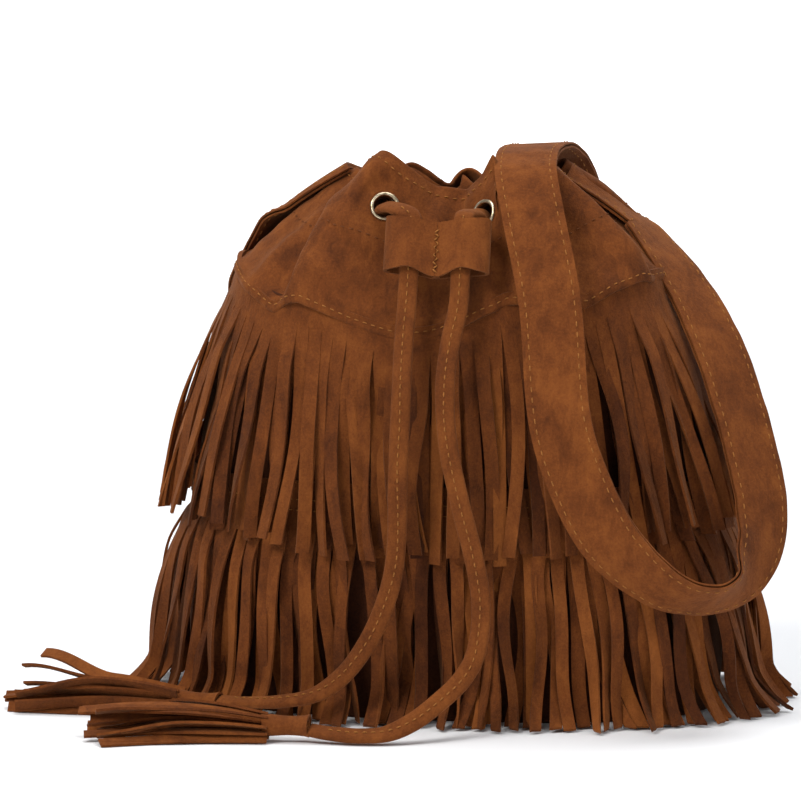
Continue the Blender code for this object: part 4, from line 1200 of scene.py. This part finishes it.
def makeStrap():
    # two plies and four rows of stitches, all lines beside the same middle line
    look = strapLook
    place, wide, face = strapFrame()
    travel = travelled(place)
    place = place + face * (look["ripple"] * wave(travel * 70.0, 41))[:, None]

    def onStrap(across, out):
        # a line along the strap; at both sewn ends it bends across its width to lie on the yoke
        line = place + wide * across + face * out
        for degrees, gone in zip(look["ends"], (travel, travel[-1] - travel)):
            weight = 1.0 - smoothStep((gone - look["sewnLength"]) / look["sewnFade"])
            v = np.clip(look["sewnRows"][0][0] - gone / look["yokeSlant"], 0.0, 1.0)
            u = shareOf(degrees)
            aside = skin(u + 0.004, 1.0 + v) - skin(u - 0.004, 1.0 + v)
            reach = across * np.sign((aside * wide).sum(axis=1)) * 0.008 / np.linalg.norm(aside, axis=1)
            near = [frameAt(u + reach + away, 1.0 + v, skin) for away in look["sewnSpread"]]
            here = np.mean([spot for spot, _ in near], axis=0)
            normal = unit(np.mean([turned for _, turned in near], axis=0))
            seat = here + normal * (look["endStand"] + look["sewnEase"] + out)
            line = line * (1.0 - weight)[:, None] + seat * weight[:, None]
        return line

    middle = 0.5 * (look["gap"] + look["ply"])
    profile = slabProfile(look["width"], look["ply"], *look["edge"])
    for name, node, way in (("strapOuter", "strap_outer_ply", 1.0), ("strapInner", "strap_inner_ply", -1.0)):
        points = np.stack([onStrap(across, way * middle + out) for across, out in profile], axis=1)
        made = putMesh(name, points, stripQuads(len(place), len(profile)), strapSuede, sharp=look["sharp"])
        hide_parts(node)
    inset = 0.5 * look["width"] - look["stitchInset"]
    reach = 0.5 * look["gap"] + look["ply"]
    for side, way in (("Left", -1.0), ("Right", 1.0)):
        for faceName, turn in (("Outer", 1.0), ("Inner", -1.0)):
            line = onStrap(inset * way, reach * turn)
            stitchRow("strapStitches" + side + faceName, line, face * turn, seamThread, "suede", **look["stitch"])


makeStrap()
print("strap made")


# Drawstring: eyelet, keeper, free ends, tassels

keeperLook = {
    "width": 0.050,
    "height": 0.0235,
    "thickness": 0.0150,
    "wall": 0.0018,
    "centre": (0.0, -0.0690, 0.2240),
    "tilt": 20.0,
    "travel": 0.016,
    "bend": 0.0005,
    "pressed": 0.0036,     # half thickness at the stitched middle
    "rows": 17,
    "sharp": 60.0,
    "stitch": {"spacing": 0.0029, "share": 0.9, "radius": 0.00034, "stand": 0.0},
}
cordLook = {
    "steps": 240,
    "sides": 20,
    "wander": 0.30,          # turn of the face along the cord, radians
    "radius": 0.0030,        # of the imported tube, whose line this cord follows
    "width": 0.0092,
    "thickness": 0.0040,
    "inside": 0.0034,        # where it starts, behind the eyelet
    "outside": 0.0042,
    "turn": 0.0085,          # how far in front of the eyelet it turns down
    "sag": (0.0, -0.0008, 0.0012),
    "lead": 0.0010,
    "boreRadius": 0.0050,
    "clearance": 0.0003,
    "seatGaps": 1.7,         # in clearances, under the cord in the bore
    "stitch": {"spacing": 0.0040, "share": 0.62, "radius": 0.00034},
    "channels": {"left": -0.0125, "right": 0.0118},
    "routes": {
        "left": (
            (-0.0130, -0.0865, 0.1800),
            (-0.0128, -0.0945, 0.1560),
            (-0.0138, -0.0975, 0.1180),
            (-0.0140, -0.0990, 0.0900),
            (-0.0165, -0.1000, 0.0700),
            (-0.0235, -0.1000, 0.0500),
            (-0.0330, -0.1000, 0.0335),
            (-0.0430, -0.0995, 0.0225),
            (-0.0545, -0.0990, 0.0155),
            (-0.0710, -0.0965, 0.0118),
            (-0.0880, -0.0905, 0.0100),
            (-0.1010, -0.0850, 0.0090),
        ),
        "right": (
            (0.0090, -0.0860, 0.1820),
            (0.0078, -0.0940, 0.1620),
            (0.0100, -0.0980, 0.1360),
            (0.0160, -0.1000, 0.1090),
            (0.0235, -0.1020, 0.0810),
            (0.0268, -0.1045, 0.0600),
            (0.0250, -0.1090, 0.0400),
            (0.0190, -0.1145, 0.0280),
            (0.0100, -0.1210, 0.0190),
            (-0.0010, -0.1275, 0.0105),
            (-0.0130, -0.1325, 0.0052),
            (-0.0260, -0.1345, 0.0042),
            (-0.0390, -0.1340, 0.0048),
            (-0.0490, -0.1330, 0.0060),
        ),
    },
    "tasselHeading": {"left": (-0.985, 0.170, 0.0), "right": (-0.998, -0.060, 0.0)},
}
tilt = math.radians(keeperLook["tilt"])
keeperAxis = np.array([0.0, -math.sin(tilt), -math.cos(tilt)])
keeperFront = np.array([0.0, -math.cos(tilt), math.sin(tilt)])


def keeperLine(channel, along):
    # a point of the cord inside the keeper: it lies against the front wall
    ahead = 0.5 * keeperLook["thickness"] - keeperLook["wall"] - keeperLook["bend"]
    ahead = ahead - cordLook["radius"] - cordLook["clearance"]
    return np.array(keeperLook["centre"]) + np.array([channel, 0.0, 0.0]) + keeperFront * ahead + keeperAxis * along


def cordRoute(side):
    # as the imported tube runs: out of the eyelet's bore, into the keeper, down the bag and along the floor
    look = cordLook
    centre, normal = eyelets[0] if side == "left" else eyelets[1]
    down = unit(np.array([0.0, 0.0, -1.0]) + normal * normal[2])
    centre = centre + down * (look["boreRadius"] - look["radius"] - look["seatGaps"] * look["clearance"])
    channel = look["channels"][side]
    half = 0.5 * keeperLook["height"]
    enter = keeperLine(channel, -half - look["lead"])
    start = [centre - normal * look["inside"], centre + normal * look["outside"]]
    start += [0.5 * (centre + normal * look["turn"] + enter) + np.array(look["sag"]), enter]
    start += [keeperLine(channel, 0.0), keeperLine(channel, half), keeperLine(channel, half + keeperLook["travel"])]
    return [tuple(point) for point in start] + list(look["routes"][side])


def makeCord(side):
    # a flat cord folded from suede: a soft superellipse section whose face looks out from the bag and up on the floor
    look = cordLook
    place, length = through(cordRoute(side), np.linspace(0.0, 1.0, look["steps"]))
    along = unit(np.gradient(place, axis=0))
    steep = np.abs(along[:, 2:])
    want = np.array([0.05, -1.0, 0.1]) * steep + np.array([0.0, -0.35, 1.0]) * (1.0 - steep)
    face = unit(want - along * (want * along).sum(axis=1, keepdims=True))
    turn = look["wander"] * wave(np.linspace(0.0, 9.0, len(place)), 51 if side == "left" else 52)
    turn = (turn * smoothStep(np.linspace(-0.9, 6.0, len(place))))[:, None]
    wide = np.cross(along, face)
    face, wide = face * np.cos(turn) + wide * np.sin(turn), wide * np.cos(turn) - face * np.sin(turn)
    angle = (np.arange(look["sides"]) + 0.25 * look["sides"]) * 2.0 * np.pi / look["sides"]
    across = np.sign(np.cos(angle)) * np.abs(np.cos(angle)) ** 0.7
    out = np.sign(np.sin(angle)) * np.abs(np.sin(angle)) ** 0.8
    profile = 0.5 * np.stack([across * look["width"], out * look["thickness"]], axis=-1)
    name = "drawstring_" + side
    made = putMesh(name + "_cord", carried(profile, place, wide, face), stripQuads(len(place), len(profile)), cordSuede)
    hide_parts(name)
    line = place[18:-6] + face[18:-6] * (0.5 * look["thickness"])
    row = stitchRow(name + "_stitches", line, face[18:-6], seamThread, "fringe_suede", **look["stitch"])
    return made, row, place, length


def keeperLobe():
    # half of the figure of eight: a smooth step up from the sewn waist, then a superellipse to the outer end
    half, deep, waist, seam = 0.5 * keeperLook["width"], 0.5 * keeperLook["thickness"], keeperLook["pressed"], 0.00005
    share = np.sin(0.5 * np.pi * np.linspace(0.0, 1.0, 26)) ** 1.15
    y = waist + (deep - waist) * smoothStep(share / 0.5)
    y = np.where(share > 0.5, deep * np.clip(1.0 - (2.0 * share - 1.0) ** 2.4, 0.0, 1.0) ** (1.0 / 2.2), y)
    x = seam + (half - seam) * share
    return np.stack([np.concatenate([x, x[::-1][1:], [seam]]), np.concatenate([y, -y[::-1][1:], [0.0]])], axis=-1)


def makeKeeper():
    # two open lobes that meet at the stitched middle: each is a wall carried along the cords and turned in at both ends
    look = keeperLook
    centre = np.array(look["centre"])
    side = np.array([1.0, 0.0, 0.0])
    outward = keeperLobe()
    tangent = unit(np.roll(outward, -1, axis=0) - np.roll(outward, 1, axis=0))
    inside = outward + look["wall"] * np.stack([tangent[:, 1], -tangent[:, 0]], axis=-1)
    rows = np.linspace(-0.5, 0.5, look["rows"])
    for lobe, way in (("Left", -1.0), ("Right", 1.0)):
        grid = []
        for loop, order in ((outward, 1), (inside, -1)):
            share = loop[:, 0] / (0.5 * look["width"])
            front = 0.5 + 0.5 * np.clip(loop[:, 1] / 0.004, -1.0, 1.0)
            # the ends aren't straight: both dip at the middle, the lower one rises over the cord
            upper = 0.0026 * (1.0 - share) - 0.0022 * front
            lower = 0.0026 * np.exp(-((share / 0.30) ** 2)) - 0.0016 * np.exp(-(((share - 0.52) / 0.22) ** 2)) * front
            for r in rows[::order]:
                along = look["height"] * r + upper * (0.5 - r) + lower * (0.5 + r)
                swell = 1.0 + 0.04 * (2.0 * r) ** 2 + 0.012 * np.sin(9.0 * r + 5.0 * share + way)
                point = centre + side * (way * loop[:, 0])[:, None] + keeperFront * (loop[:, 1] * swell)[:, None]
                grid.append(point + keeperAxis * along[:, None])
        quads = loopGrid(len(grid), len(outward))
        made = putMesh("keeper" + lobe, grid, quads, cordSuede, body="cord_keeper", sharp=look["sharp"])
        if lobe == "Left":
            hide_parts("cord_keeper")
    # a zigzag down the middle
    place = np.linspace(-0.42, 0.46, 13)[:, None]
    zigzag = 0.0011 * (-1.0) ** np.arange(len(place))[:, None]
    line = centre + side * zigzag + keeperFront * (look["pressed"] + 0.0006)
    line = line + keeperAxis * (look["height"] * place + 0.002)
    normals = np.tile(keeperFront, (len(line), 1))
    stitchRow("keeperStitches", line, normals, seamThread, "fringe_suede", body="cord_keeper", **look["stitch"])


tasselLook = {
    "strips": 16,
    "headRadius": 0.0062,
    "headLength": 0.022,
    "turns": 2.6,            # of the rolled sheet
    "core": 0.0016,
    "wall": 0.0011,
    "pinch": 0.13,
    "steps": 110,
    "rows": 12,
    "rest": 0.0075,          # height of the head's axis
    "stripLength": 0.088,
    "stripWidth": 0.0062,
    "stripRows": 26,
    "thickness": 0.0012,
    "rootFan": 0.0045,
    "fan": 0.0125,
    "shortest": 0.16,
    "floor": 0.0010,
    "pile": 0.0125,          # height of the topmost strip over the lowest
    "arch": 0.0045,
    "tone": 0.54,
    "toneSpread": 0.10,
}


def makeTasselHead(side, seed, start, heading, across, level):
    # a cut sheet rolled up: two spirals, pinched by a sine where the cord is tied in
    look = tasselLook
    rows = look["rows"]
    angle = np.linspace(0.0, 2.0 * np.pi * look["turns"], look["steps"])
    radius = look["core"] + (look["headRadius"] - look["core"]) * angle / angle[-1]
    grid = []
    for shift, order in ((0.0, 1), (-look["wall"], -1)):
        for s in np.linspace(0.0, 1.0, rows)[::order]:
            pinch = 1.0 - look["pinch"] * np.sin(np.pi * np.clip(s * 1.25, 0.0, 1.0)) + 0.05 * (s < 0.05)
            r = (radius + shift) * pinch
            along = look["headLength"] * s + 0.0006 * np.sin(angle * 1.3 + seed) * (1.0 - 2.0 * s)
            point = start + heading * along[:, None]
            grid.append(point + across * (r * np.cos(angle))[:, None] + level * (r * np.sin(angle))[:, None])
    quads = [loopGrid(2 * rows, look["steps"], closeRows=True, closeColumns=False)]
    k = np.arange(rows - 1)
    cap = np.stack([k, k + 1, 2 * rows - 2 - k, 2 * rows - 1 - k], axis=-1) * look["steps"]
    quads += [cap[:, ::-1], cap + look["steps"] - 1]
    made = putMesh("tassel_" + side + "_head", grid, np.concatenate(quads), cordSuede, sharp=50.0)
    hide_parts("tassel_" + side)
    return made


def makeTassel(side, seed):
    # the head's sheet goes on as strips that fan out and sink by a smooth step to the floor, one above the other
    look = tasselLook
    heading = unit(np.array(cordLook["tasselHeading"][side]))
    start = np.array(cordLook["routes"][side][-1]) + heading * 0.0003
    start[2] = look["rest"]
    level = np.array([0.0, 0.0, 1.0])
    across = np.cross(level, heading)
    rng = np.random.default_rng(seed)
    head = makeTasselHead(side, seed, start, heading, across, level)
    profile = slabProfile(look["stripWidth"], look["thickness"], 4, 0.0)
    t = np.linspace(0.0, 1.0, look["stripRows"])
    count = len(t) * len(profile)
    allPoints, tones = [], []
    spread = np.linspace(-1.0, 1.0, look["strips"])
    order = rng.permutation(look["strips"])
    for k, fan in enumerate(spread):
        height = order[k] / look["strips"]
        reach = look["stripLength"] * (1.0 - look["shortest"] * rng.random()) * (1.0 - 0.05 * abs(fan))
        along = look["headLength"] - 0.003 + (reach + 0.003) * t
        aside = fan * (look["rootFan"] + look["fan"] * t**1.2) + 0.0050 * rng.normal() * t**2
        aside = aside + 0.0014 * np.sin(5.0 * t + k)
        drop = look["floor"] - look["rest"]
        top = 0.0050 * (2.0 * height - 1.0)
        sag = top + (drop + look["pile"] * height - top) * smoothStep(t * 1.15)
        sag = sag + look["arch"] * height * np.sin(np.pi * t)
        sag = sag + 0.0050 * rng.normal() * height * smoothStep((t - 0.5) * 2.0)
        sag = np.maximum(sag, drop)
        line = start + heading * along[:, None] + across * aside[:, None] + level * sag[:, None]
        direction = unit(np.gradient(line, axis=0))
        roll = (0.9 * rng.normal()) * (1.0 - 0.65 * smoothStep(t * 1.2)) + 0.30 * rng.normal() * t
        up = unit(level - direction * (direction @ level)[:, None])
        wide = np.cross(direction, up)
        face = up * np.cos(roll)[:, None] + wide * np.sin(roll)[:, None]
        wide = wide * np.cos(roll)[:, None] - up * np.sin(roll)[:, None]
        points = carried(profile, line, wide, face)
        points[..., 2] = np.maximum(points[..., 2], 0.0003)
        allPoints.append(points)
        tones.append(np.full(count, np.clip(look["tone"] + look["toneSpread"] * rng.normal(), 0.0, 1.0)))
    quads = stripQuads(len(t), len(profile))[None] + (np.arange(look["strips"]) * count)[:, None, None]
    tones = np.concatenate(tones)
    made = putMesh("tassel_" + side + "_strips", allPoints, quads, fringeSuede, tone=tones, sharp=stripLook["sharp"])
    return head, made


for side, seed in (("left", 61), ("right", 67)):
    cord, row, place, length = makeCord(side)
    head, strips = makeTassel(side, seed)
    print("drawstring", side, round(length, 3), "m")
makeKeeper()


# Carried over CAD nodes

# painted shade: the base panel takes the suede darkened to stand for the shade under the bag
for name, finish in (("base_panel", paintedShadeSuede), ("drawstring_in_hem", cordSuede)):
    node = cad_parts[name]
    node.data.materials.clear()
    node.data.materials.append(finish)
print("keeper and carried nodes done")
